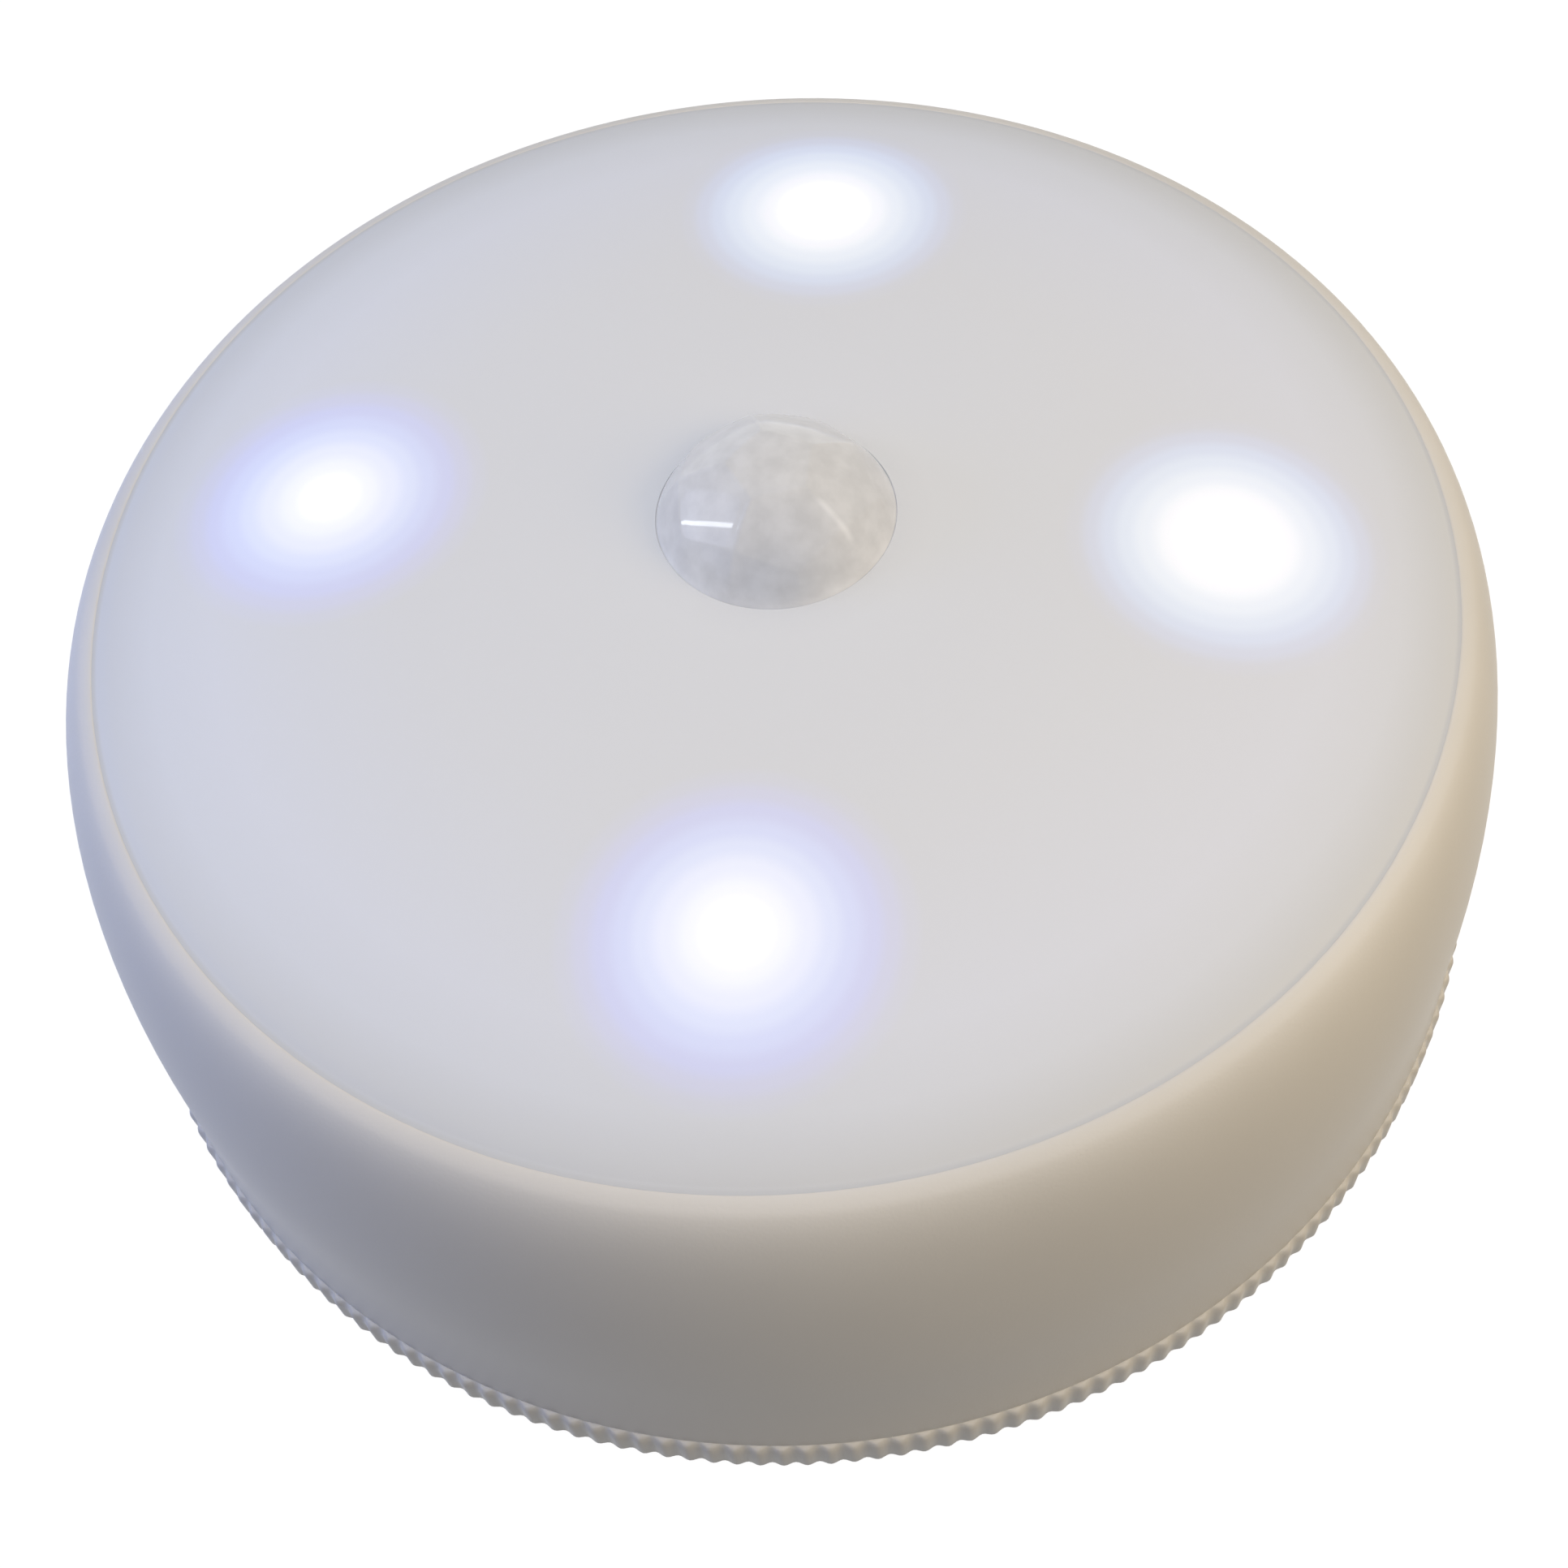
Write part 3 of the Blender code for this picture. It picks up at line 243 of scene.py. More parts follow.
# Fine shade where the diffuser meets the housing: (share of the radius, share of the colour)
JOINT_SHADE_STOPS = ((0.9940, 1.0), (0.9968, 0.90), (1.0, 0.90))
LENS_COLOUR = (0.425, 0.425, 0.434)
# Painted shade on the lens, where the dark sensor inside shows through: azimuth, tilt, reach, darkness of
# red, green and blue
PAINTED_LENS_SHADES = (
    (radians(-84), radians(46), 0.0052, (0.90, 0.915, 0.955)),
    (radians(-84), radians(54), 0.0028, (0.90, 0.915, 0.945)),
)
PAINTED_LENS_SHADE_CORE = 0.3
# Painted highlights along the ribs where the middle facets meet: half width, reach from and to the axis, how
# much paler each is
RIB_WIDTH = 0.0003
RIB_REACH = (0.0028, 0.0058)
RIB_PAINTED_HIGHLIGHTS = (1.15, 1.04, 1.04, 1.05, 1.0)
RIB_STRENGTH_STOPS = ((0.0, 0), (0.3, 1), (0.8, 1), (1.0, 0))
# Painted light on the lens's foot, where shade falls: height, and how much paler at each share of it
FOOT_HEIGHT = 0.0010
FOOT_PAINTED_LIGHT_STOPS = ((0.0, 1.20), (0.4, 1.08), (1.0, 1.0))
# Mottling of the lens: scale and detail of the noise, and how pale it gets
LENS_CLOUD_NOISE = (760.0, 4.0)
LENS_CLOUD_STOPS = ((0.34, 0.925), (0.66, 1.06))
LENS_ROUGHNESS = (0.28, 0.36)
LENS_WAVE_NOISE = (420.0, 2.0)
LENS_WAVE_BUMP = (0.25, 0.0002)
LENS_COAT = {"Coat Weight": 1.0, "Coat Roughness": 0.05}
# Painted glow of the lens in its own tint, standing in for light through the milky plastic
LENS_PAINTED_GLOW = 0.38
PHOTOCELL_TRACK_PITCH = 0.0007
PHOTOCELL_ROUGHNESS = 0.3
PHOTOCELL_BUMP = 0.1
PHOTOCELL_STOPS = ((0.1, (0.76, 0.70, 0.60)), (0.35, (0.72, 0.30, 0.12)))
CAPACITOR_STRIPE_SHARE = 0.36
CAPACITOR_ROUGHNESS = 0.28
CAPACITOR_NOISE = (2500.0, 2.0)
CAPACITOR_BUMP = 0.06
CAPACITOR_STOPS = ((0.0, (0.07, 0.08, 0.13)), (1.0, (0.62, 0.63, 0.66)))
FOAM_CELL_SCALE = 2600.0
FOAM_CLOUD_NOISE = (300.0, 3.0)
FOAM_ROUGHNESS = (0.75, 0.95)
FOAM_BUMP = 0.6
FOAM_STOPS = ((0.1, (0.13, 0.13, 0.14)), (0.6, (0.20, 0.20, 0.21)))
BOARD_PATTERN = {"offset": 0.37, "squash": 1.6}
BOARD_TRACES = {
    "Scale": 260.0,
    "Mortar Size": 0.06,
    "Brick Width": 0.9,
    "Row Height": 0.33,
    "Color1": (0.80, 0.82, 0.78, 1),
    "Color2": (0.78, 0.80, 0.76, 1),
    "Mortar": (0.66, 0.69, 0.60, 1),
}
BOARD_ROUGHNESS = 0.35
BOARD_BUMP = 0.3
# Bands along a cell from its flat end, and across a resistor: (start, colour, bareness of the metal)
STEEL, SLEEVE, COPPER = (0.62, 0.62, 0.61), (0.10, 0.12, 0.18), (0.60, 0.34, 0.16)
CELL_BANDS = ((0.0, STEEL, 1), (0.012, SLEEVE, 0), (0.72, COPPER, 0), (0.972, STEEL, 1))
CELL_NOISE = (1800.0, 2.0)
CELL_ROUGHNESS = (0.24, 0.34)
CELL_BUMP = 0.05
TIN, FILM = (0.62, 0.62, 0.6), (0.05, 0.05, 0.06)
RESISTOR_BANDS = ((0.0, TIN, 1), (0.2, FILM, 0), (0.8, TIN, 1))
RESISTOR_ROUGHNESS = 0.35
RESISTOR_NOISE = (9000.0, 2.0)
RESISTOR_BUMP = 0.1

# Even finishes: roughness spreads by a share each way, and the clouds are coarser than the grain
MIDDLE_RANGE = (0.3, 0.7)
ROUGHNESS_SPREAD = 0.08
CLOUD_SHARE = 90
NOISE_DETAIL = 3.0
FINISH_FIELDS = "name colour roughness grain strength mottle metallic more"
Finish = namedtuple("Finish", FINISH_FIELDS, defaults=(0.03, 0.0, {}))
HOUSING_MORE = {"Specular IOR Level": 0.05}
LED_MORE = {"Emission Color": (1.0, 0.94, 0.78, 1), "Emission Strength": 1.5}
EVEN_FINISHES = {
    "housing_plastic": Finish("satin_white_plastic", HOUSING_COLOUR, 0.36, 5200.0, 0.10, more=HOUSING_MORE),
    "black_plastic": Finish("satin_black_plastic", (0.05, 0.05, 0.055), 0.45, 5000.0, 0.25),
    "tray_plastic": Finish("satin_grey_plastic", (0.42, 0.43, 0.44), 0.42, 4200.0, 0.20),
    "tinned_metal": Finish("bright_tin", (0.62, 0.62, 0.60), 0.26, 2600.0, 0.10, 0.06, 1.0),
    "screw_steel": Finish("zinc_plate", (0.52, 0.52, 0.53), 0.34, 3200.0, 0.12, 0.08, 1.0),
    "filter_glass": Finish("dark_filter_glass", (0.05, 0.04, 0.06), 0.06, 900.0, 0.01),
    "led_package": Finish("white_package", (0.85, 0.85, 0.83), 0.40, 5000.0, 0.05),
    "led_phosphor": Finish("lit_phosphor", (0.95, 0.90, 0.55), 0.25, 7000.0, 0.20, 0.04, more=LED_MORE),
    "red_insulation": Finish("red_insulation_skin", (0.60, 0.05, 0.05), 0.45, 3000.0, 0.10),
    "black_insulation": Finish("black_insulation_skin", (0.03, 0.03, 0.03), 0.45, 3000.0, 0.10),
}

# Node trees: height of a bump's white, and the colour mix node's share, first and second colour, and result
BUMP_DISTANCE = 0.0001
COLOUR_MIX_SOCKETS = (0, 6, 7)
COLOUR_MIX_OUTPUT = 2

# Even light and floor
WHITE = (1, 1, 1, 1)
AMBIENT_COLOUR = (1.0, 0.96, 0.92, 1)
AMBIENT_STRENGTH = 0.320
FLOOR_SIDE = 4.0
FLOOR_BOUNCE = 0.04
FLOOR_WHITE = 0.96
FLOOR_SHADE = 0.09
FLOOR_DROP = 0.0002
FLOOR_SHIFT = 0.7
# The back of the object, close to the floor, is lit as if the floor weren't there
FLOOR_CLEAR_REACH = 0.0013

# Square lamps without a mirror image: azimuth, elevation, side's direction, distance, side, power, colour
ALONG_X, ALONG_Y = Vector((1, 0, 0)), Vector((0, 1, 0))
SOFT_LAMPS = {
    "top_softbox": (radians(125), radians(80), ALONG_Y, 0.6, 0.5, 1.23, (0.975, 0.98, 1.0)),
    "front_softbox": (radians(-64), radians(63), ALONG_X, 0.6, 0.4, 0.71, (0.99, 0.98, 1.0)),
    "warm_wall": (radians(-16), radians(32), ALONG_Y, 0.20, 0.12, 0.137, (1.0, 0.73, 0.33)),
    "cool_wall": (radians(189), radians(11), ALONG_Y, 0.16, 0.10, 0.074, (0.13, 0.32, 1.0)),
}
# Ceiling tube, and the halo round it that only glossy surfaces mirror: the ends of the tube as directions
TUBE_START = (radians(172), radians(14))
TUBE_END = (radians(-169), radians(46))
TUBE_DISTANCE = 0.14
TUBE_WIDTH = 0.005
TUBE_POWER = 0.012
TUBE_COLOUR = (0.90, 0.95, 1.0)
HALO_DISTANCE = 0.16
HALO_SIZE = (0.10, 0.075)
HALO_POWER = 0.022
HALO_COLOUR = (0.62, 0.68, 1.0)

# Places read from the frame
housing_low, housing_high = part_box("front_housing")
base_low, base_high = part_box("base_cover")
lens_low, lens_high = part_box("sensor_lens")
pad_low, pad_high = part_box("adhesive_pad")
button_low, button_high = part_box("slide_button")
screw_low, screw_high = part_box("tray_screw_2")

wall_radius = housing_high.x
face_radius = wall_radius - SHOULDER_WIDTH
edge_z = housing_high.z + GAP / 2
wall_low_z = housing_low.z - GAP + JOINT_GAP
rim_radius = base_high.x
back_z = base_low.z
plate_top_z = back_z + BASE_PLATE_THICKNESS
rim_top_z = back_z + RIM_HEIGHT
bore_radius = wall_radius - SHELL_THICKNESS
tab_radius = bore_radius - BAYONET_REACH
spigot_radius = tab_radius - BAYONET_CLEARANCE
spigot_bore_radius = spigot_radius - SPIGOT_WALL
lug_radius = bore_radius - BAYONET_CLEARANCE
spigot_top_z = base_high.z
lug_top_z = spigot_top_z - GAP
lug_low_z = lug_top_z - LUG_THICKNESS
tab_low_z = housing_low.z + TAB_LIFT
tab_top_z = tab_low_z + TAB_THICKNESS
skirt_low_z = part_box("diffuser")[0].z
boss_low_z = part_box("circuit_board")[1].z + GAP
boss_top_z = skirt_low_z - GAP
boss_circle = (screw_low.y + screw_high.y) / 2
diffuser_radius = face_radius - FINE_GAP / 2
seat_radius = face_radius + FINE_GAP / 2
ledge_radius = face_radius + GAP / 2 - LEDGE_WIDTH
skirt_radius = ledge_radius - GAP
ledge_top_z = edge_z - DIFFUSER_THICKNESS - GAP
ledge_low_z = ledge_top_z - LEDGE_THICKNESS
lens_hole_radius = LENS_RADIUS + FINE_GAP
lens_sphere_radius = LENS_RADIUS / sin(LENS_EDGE_ANGLE)
lens_middle_z = lens_high.z - lens_sphere_radius
pad_radius = pad_high.x
recess_radius = pad_radius + PAD_MARGIN
recess_floor_z = back_z + PAD_RECESS_DEPTH
switch_x = (button_low.x + button_high.x) / 2


def wall_at(z):
    """Outer radius of the shell at height z: a quarter ellipse from the face's edge into the wall."""
    drop = min(max(edge_z - z, 0.0), SHOULDER_DROP)
    return face_radius + SHOULDER_WIDTH * sin(acos(1 - drop / SHOULDER_DROP))


def face_z(radius):
    """Height of the diffuser's outer face at a radius."""
    return edge_z + FACE_CROWN * (1 - (radius / diffuser_radius) ** FACE_POWER)


def polar(radius, angle):
    return (radius * cos(angle), radius * sin(angle))


def direction(azimuth, elevation):
    return Vector((*polar(cos(elevation), azimuth), sin(elevation)))


def rounded(corners):
    """A profile from (radius, z, setback) corners. A corner with a setback becomes a short smooth curve."""
    points = []
    count = len(corners)
    for index, (radius, z, setback) in enumerate(corners):
        corner = Vector((radius, z))
        if not setback:
            points.append(corner)
            continue
        before = Vector(corners[index - 1][:2])
        after = Vector(corners[(index + 1) % count][:2])
        start = corner + (before - corner).normalized() * setback
        end = corner + (after - corner).normalized() * setback
        for step in range(CORNER_STEPS + 1):
            share = step / CORNER_STEPS
            first = start.lerp(corner, share)
            second = corner.lerp(end, share)
            points.append(first.lerp(second, share))
    return [(point.x, point.y) for point in points]


def turned_shape(profile, steps, closed=True, offset=None):
    """A bmesh turned about Z from (radius, z) points. offset(index, angle) may move a point's radius."""
    shape = bmesh.new()
    rings = []
    for step in range(steps):
        angle = TURN * step / steps
        ring = []
        for index, (radius, z) in enumerate(profile):
            if radius == 0 and step:
                ring.append(rings[0][index])
                continue
            reach = radius + (offset(index, angle) if offset else 0)
            ring.append(shape.verts.new((*polar(reach, angle), z)))
        rings.append(ring)
    last = len(profile) if closed else len(profile) - 1
    for step in range(steps):
        here, there = rings[step], rings[(step + 1) % steps]
        for index in range(last):
            follow = (index + 1) % len(profile)
            corners = []
            for corner in (here[index], there[index], there[follow], here[follow]):
                if corner not in corners:
                    corners.append(corner)
            if len(corners) > 2:
                shape.faces.new(corners)
    bmesh.ops.recalc_face_normals(shape, faces=shape.faces)
    return shape


def finish_shape(name, shape, location=(0, 0, 0), sharp=SHARP_ANGLE):
    """Turns a bmesh into a smooth-shaded object in the scene."""
    mesh = bpy.data.meshes.new(name)
    shape.to_mesh(mesh)
    shape.free()
    mesh.shade_smooth()
    mesh.set_sharp_from_angle(angle=sharp)
    made = bpy.data.objects.new(name, mesh)
    made.location = location
    bpy.context.scene.collection.objects.link(made)
    return made


def turn(name, profile, steps=ROUND_STEPS, closed=True, centre=(0, 0)):
    return finish_shape(name, turned_shape(profile, steps, closed), (*centre, 0))


def arc_block(name, inner, outer, middle, span, low, high):
    """A block bent round the axis."""
    steps = max(ARC_STEPS_MIN, ceil(span / TURN * ROUND_STEPS))
    shape = bmesh.new()
    rings = []
    for step in range(steps + 1):
        angle = middle - span / 2 + span * step / steps
        corners = ((inner, low), (outer, low), (outer, high), (inner, high))
        rings.append([shape.verts.new((*polar(radius, angle), z)) for radius, z in corners])
    for here, there in zip(rings, rings[1:]):
        for index in range(4):
            follow = (index + 1) % 4
            shape.faces.new((here[index], there[index], there[follow], here[follow]))
    shape.faces.new(rings[0])
    shape.faces.new(rings[-1])
    bmesh.ops.recalc_face_normals(shape, faces=shape.faces)
    return finish_shape(name, shape)


def block(name, low, high, bevel):
    """A box from corner to corner, with rounded edges."""
    shape = bmesh.new()
    bmesh.ops.create_cube(shape, size=1)
    low, high = Vector(low), Vector(high)
    bmesh.ops.scale(shape, vec=high - low, verts=shape.verts)
    bmesh.ops.translate(shape, vec=(low + high) / 2, verts=shape.verts)
    bmesh.ops.bevel(
        shape, geom=shape.edges[:], offset=bevel, segments=BEVEL_STEPS, profile=ROUND_PROFILE, affect="EDGES"
    )
    return finish_shape(name, shape)


def combine(target, operation, tools):
    """Boolean modifiers whose result becomes the target's own mesh. The tools are removed."""
    for tool in tools:
        change = target.modifiers.new(tool.name, "BOOLEAN")
        change.operation = operation
        change.object = tool
    bpy.context.view_layer.update()
    ready = target.evaluated_get(bpy.context.evaluated_depsgraph_get())
    mesh = bpy.data.meshes.new_from_object(ready)
    target.modifiers.clear()
    old = target.data
    target.data = mesh
    mesh.name = target.name
    bpy.data.meshes.remove(old)
    for tool in tools:
        bpy.data.objects.remove(tool, do_unlink=True)
    mesh.shade_smooth()
    mesh.set_sharp_from_angle(angle=SHARP_ANGLE)


def make_housing():
    """Shoulder and wall with the diffuser's seat, the screw bosses and the bayonet's tabs and stops."""
    wall_top_z = edge_z - SHOULDER_DROP
    corners = [(seat_radius + outward, edge_z + rise, 0) for outward, rise in LIP_SHAPE]
    for step in range(LIP_SHOULDER_STEP, SHOULDER_STEPS):
        z = edge_z - SHOULDER_DROP * (1 - cos(pi / 2 * step / SHOULDER_STEPS))
        corners.append((wall_at(z), z, 0))
    for step in range(WALL_STEPS):
        share = step / WALL_STEPS
        z = wall_top_z + (wall_low_z - wall_top_z) * share
        corners.append((wall_radius + WALL_DRAFT * share * share, z, 0))
    corners.append((wall_radius + WALL_DRAFT, wall_low_z, WALL_EDGE_ROUND))
    corners.append((bore_radius, wall_low_z, EDGE_ROUND / 2))
    inner_steps = SHOULDER_STEPS // 2
    for step in range(inner_steps + 1):
        z = wall_top_z + (ledge_low_z - wall_top_z) * step / inner_steps
        corners.append((wall_at(z) - SHELL_THICKNESS, z, 0))
    corners += [(ledge_radius, ledge_low_z, 0), (ledge_radius, ledge_top_z, 0), (seat_radius, ledge_top_z, 0)]
    housing = turn("housing_shell", rounded(corners))
    tools = []
    profile = [(0, boss_top_z), (BOSS_RADIUS, boss_top_z), (BOSS_RADIUS, boss_low_z), (0, boss_low_z)]
    for number, angle in enumerate(BOSS_ANGLES, 1):
        tools.append(turn(f"boss_{number}", profile, SMALL_STEPS, False, polar(boss_circle, angle)))
    outer = bore_radius + SHELL_THICKNESS / 2
    for number in range(BAYONET_COUNT):
        middle = TURN * number / BAYONET_COUNT
        tools.append(arc_block(f"tab_{number}", tab_radius, outer, middle, TAB_SPAN, tab_low_z, tab_top_z))
        stop_middle = middle + LUG_SPAN / 2 + GAP / lug_radius + STOP_SPAN / 2
        stop = (tab_radius + GAP, outer, stop_middle, STOP_SPAN, tab_low_z + GAP, lug_top_z)
        tools.append(arc_block(f"stop_{number}", *stop))
    combine(housing, "UNION", tools)
    pilots = []
    pilot_top_z, pilot_low_z = boss_top_z - GAP * 2, boss_low_z - OVERRUN
    profile = [(0, pilot_top_z), (PILOT_RADIUS, pilot_top_z), (PILOT_RADIUS, pilot_low_z), (0, pilot_low_z)]
    for number, angle in enumerate(BOSS_ANGLES, 1):
        pilots.append(turn(f"pilot_{number}", profile, SMALL_STEPS, False, polar(boss_circle, angle)))
    combine(housing, "DIFFERENCE", pilots)
    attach(housing, HEAD)
    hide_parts("front_housing")
    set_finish(housing, "housing_plastic")
    return housing


def make_diffuser():
    """Domed frosted disc with the lens hole, a rounded edge and its snap skirt."""
    rim_low_z = edge_z - DIFFUSER_THICKNESS
    skirt_bore = skirt_radius - SKIRT_THICKNESS
    bead_z = skirt_low_z + BEAD_HEIGHT
    span = diffuser_radius - lens_hole_radius
    radii = [lens_hole_radius + span * sin(pi / 2 * step / FACE_STEPS) for step in range(FACE_STEPS)]
    plain_radius = diffuser_radius - FACE_EDGE_WIDTH
    corners = [(lens_hole_radius, face_z(lens_hole_radius), FINE_GAP)]
    corners += [(radius, face_z(radius), 0) for radius in radii[1:] if radius < plain_radius]
    for inward, sink in FACE_EDGE_SHAPE:
        radius = diffuser_radius - inward
        corners.append((radius, face_z(radius) - sink, 0))
    corners.append((diffuser_radius, rim_low_z, 0))
    corners += [(skirt_radius, rim_low_z, 0), (skirt_radius, bead_z + SKIRT_BEAD, 0)]
    corners += [(skirt_radius + SKIRT_BEAD, bead_z, FINE_GAP), (skirt_radius, skirt_low_z, 0)]
    corners += [(skirt_bore, skirt_low_z, 0), (skirt_bore, face_z(skirt_bore) - DIFFUSER_THICKNESS, 0)]
    inner = [radius for radius in reversed(radii) if radius < skirt_bore - EDGE_ROUND]
    corners += [(radius, face_z(radius) - DIFFUSER_THICKNESS, 0) for radius in inner]
    diffuser = turn("frosted_diffuser", rounded(corners))
    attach(diffuser, HEAD)
    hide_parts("diffuser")
    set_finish(diffuser, "diffuser_plastic")
    return diffuser


def knurl(angle):
    """0 on a tooth's crest and 1 in the valley between two teeth."""
    return (1 - cos(angle * TOOTH_COUNT)) / 2


def make_base():
    """Twist-off base: a knurled rim of round teeth, the plate, the bayonet spigot and its lugs."""
    corners = [(spigot_radius, rim_top_z, 0)]
    corners += [(rim_radius - inward, rim_top_z - down, depth) for inward, down, depth in BEAD_SHAPE]
    corners += [(recess_radius, back_z, 0), (recess_radius, recess_floor_z, 0), (0, recess_floor_z, 0)]
    inside = [(0, plate_top_z, 0), (spigot_bore_radius, plate_top_z, 0)]
    inside += [(spigot_bore_radius, spigot_top_z, 0), (spigot_radius, spigot_top_z, 0)]
    points = inside + corners
    profile = [point[:2] for point in points]

    def groove(index, angle):
        return -points[index][2] * TOOTH_DEPTH * knurl(angle)

    shape = turned_shape(profile, TOOTH_COUNT * TOOTH_POINTS, False, groove)
    base = finish_shape("knurled_base", shape)
    lugs = []
    for number in range(BAYONET_COUNT):
        middle = TURN * number / BAYONET_COUNT
        lug = (spigot_radius - SPIGOT_WALL / 2, lug_radius, middle, LUG_SPAN, lug_low_z, lug_top_z)
        lugs.append(arc_block(f"lug_{number}", *lug))
    combine(base, "UNION", lugs)
    half_x = BUTTON_WIDTH / 2 + WINDOW_MARGIN
    half_y = BUTTON_LENGTH / 2 + SWITCH_TRAVEL + WINDOW_MARGIN
    low = (switch_x - half_x, -half_y, back_z - OVERRUN)
    high = (switch_x + half_x, half_y, plate_top_z + OVERRUN)
    cuts = [block("switch_window", low, high, EDGE_ROUND)]
    far_y = recess_radius + WALL_SCREW_MARGIN
    sink_radius = WALL_SCREW_HOLE_RADIUS + SINK_WIDTH
    profile = [(0, plate_top_z + OVERRUN), (sink_radius + OVERRUN, plate_top_z + OVERRUN)]
    profile += [(sink_radius, plate_top_z), (WALL_SCREW_HOLE_RADIUS, plate_top_z - SINK_WIDTH)]
    profile += [(WALL_SCREW_HOLE_RADIUS, back_z - OVERRUN), (0, back_z - OVERRUN)]
    for number, y in enumerate((-far_y, far_y), 1):
        cuts.append(turn(f"wall_screw_hole_{number}", profile, SMALL_STEPS, False, (0, y)))
    combine(base, "DIFFERENCE", cuts)
    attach(base, BASE)
    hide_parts("base_cover")
    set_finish(base, "housing_plastic")
    return base


def facet_centres():
    """Unit directions of the lens's facets: one on top, a middle ring and an outer ring."""
    centres = [Vector((0, 0, 1))]
    for count, tilt, first in FACET_RINGS:
        for number in range(count):
            angle = first + TURN * number / count
            centres.append(Vector((*polar(sin(tilt), angle), cos(tilt))))
    return centres


def dome_point(tilt, angle, centres):
    """A point of the lens's surface: the sphere, flattened towards its facets with soft ridges."""
    way = Vector((*polar(sin(tilt), angle), cos(tilt)))
    dots = sorted((way.dot(centre) for centre in centres), reverse=True)
    total = sum(max(dot, 0) ** FACET_SHARPNESS for dot in dots)
    flat = cos(FACET_TANGENT) * total ** (-1 / FACET_SHARPNESS)
    fade = min(1, max(0, (LENS_EDGE_ANGLE - tilt) / FACET_FADE))
    fade *= fade * (3 - 2 * fade)
    ridge = RIDGE_HEIGHT * exp(-(((dots[0] - dots[1]) / RIDGE_SPREAD) ** 2))
    reach = lens_sphere_radius * (1 + FACET_FLATNESS * (flat - 1) * fade) + ridge * fade
    return way * reach + Vector((0, 0, lens_middle_z))


def make_lens():
    """Milky dome of the infrared lens with soft facets, and its flange under the diffuser."""
    centres = facet_centres()
    flange_radius = lens_high.x
    flange_top_z = lens_low.z + LENS_FLANGE_THICKNESS
    inner_radius = lens_sphere_radius - LENS_SKIN
    inner_foot = LENS_RADIUS - LENS_SKIN
    tilts = [LENS_EDGE_ANGLE * (step / LENS_STEPS) for step in range(1, LENS_STEPS + 1)]
    shape = bmesh.new()
    rings = []
    apex = shape.verts.new(dome_point(0, 0, centres))
    under = shape.verts.new((0, 0, lens_middle_z + inner_radius))
    inside = [(LENS_RADIUS, flange_top_z), (flange_radius, flange_top_z), (flange_radius, lens_low.z)]
    inside.append((inner_foot, lens_low.z))
    for tilt in reversed(tilts[::LENS_INNER_SKIP]):
        inside.append((inner_radius * sin(tilt), lens_middle_z + inner_radius * cos(tilt)))
    for step in range(LENS_ROUND_STEPS):
        angle = TURN * step / LENS_ROUND_STEPS
        ring = [shape.verts.new(dome_point(tilt, angle, centres)) for tilt in tilts]
        ring += [shape.verts.new((*polar(radius, angle), z)) for radius, z in inside]
        rings.append(ring)
    for here, there in zip(rings, rings[1:] + rings[:1]):
        shape.faces.new((apex, here[0], there[0]))
        for index in range(len(here) - 1):
            shape.faces.new((here[index], here[index + 1], there[index + 1], there[index]))
        shape.faces.new((here[-1], under, there[-1]))
    bmesh.ops.recalc_face_normals(shape, faces=shape.faces)
    lens = finish_shape("faceted_lens", shape, sharp=LENS_SHARP_ANGLE)
    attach(lens, HEAD)
    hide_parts("sensor_lens")
    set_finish(lens, "lens_plastic")
    return lens


def make_pad():
    """Round foam pad on the back, with soft edges."""
    top_z = recess_floor_z - PAD_SINK
    edge = PAD_EDGE_ROUND
    corners = [(0, top_z, 0), (pad_radius, top_z, edge), (pad_radius, pad_low.z, edge), (0, pad_low.z, 0)]
    pad = turn("foam_pad", rounded(corners), ROUND_STEPS, False)
    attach(pad, BASE)
    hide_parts("adhesive_pad")
    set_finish(pad, "pad_foam")
    return pad


def make_camera():
    """The photograph's camera: aimed beside the object's middle, then shifted and rolled."""
    right = Vector((cos(CAMERA_AZIMUTH), sin(CAMERA_AZIMUTH), 0))
    back = direction(CAMERA_AZIMUTH - TURN / 4, CAMERA_ELEVATION)
    up = back.cross(right)
    centre = Vector((0, 0, back_z))
    place = centre + back * CAMERA_DISTANCE
    aim = centre + right * AIM_RIGHT + up * AIM_UP
    look = (place - aim).normalized()
    side = up.cross(look).normalized()
    top = look.cross(side)
    rolled_side = side * cos(CAMERA_ROLL) + top * sin(CAMERA_ROLL)
    rolled_top = top * cos(CAMERA_ROLL) - side * sin(CAMERA_ROLL)
    data = bpy.data.cameras.new("camera")
    data.sensor_width = SENSOR_WIDTH
    data.lens = FOCAL_PIXELS / PHOTO_SIDE * SENSOR_WIDTH
    data.shift_x = -SHIFT_PIXELS[0] / PHOTO_SIDE
    data.shift_y = SHIFT_PIXELS[1] / PHOTO_SIDE
    data.clip_start = CLIP_START
    data.clip_end = CLIP_END
    camera = bpy.data.objects.new("camera", data)
    bpy.context.scene.collection.objects.link(camera)
    columns = Matrix((rolled_side, rolled_top, look)).transposed().to_4x4()
    camera.matrix_world = Matrix.Translation(place) @ columns
    bpy.context.scene.camera = camera


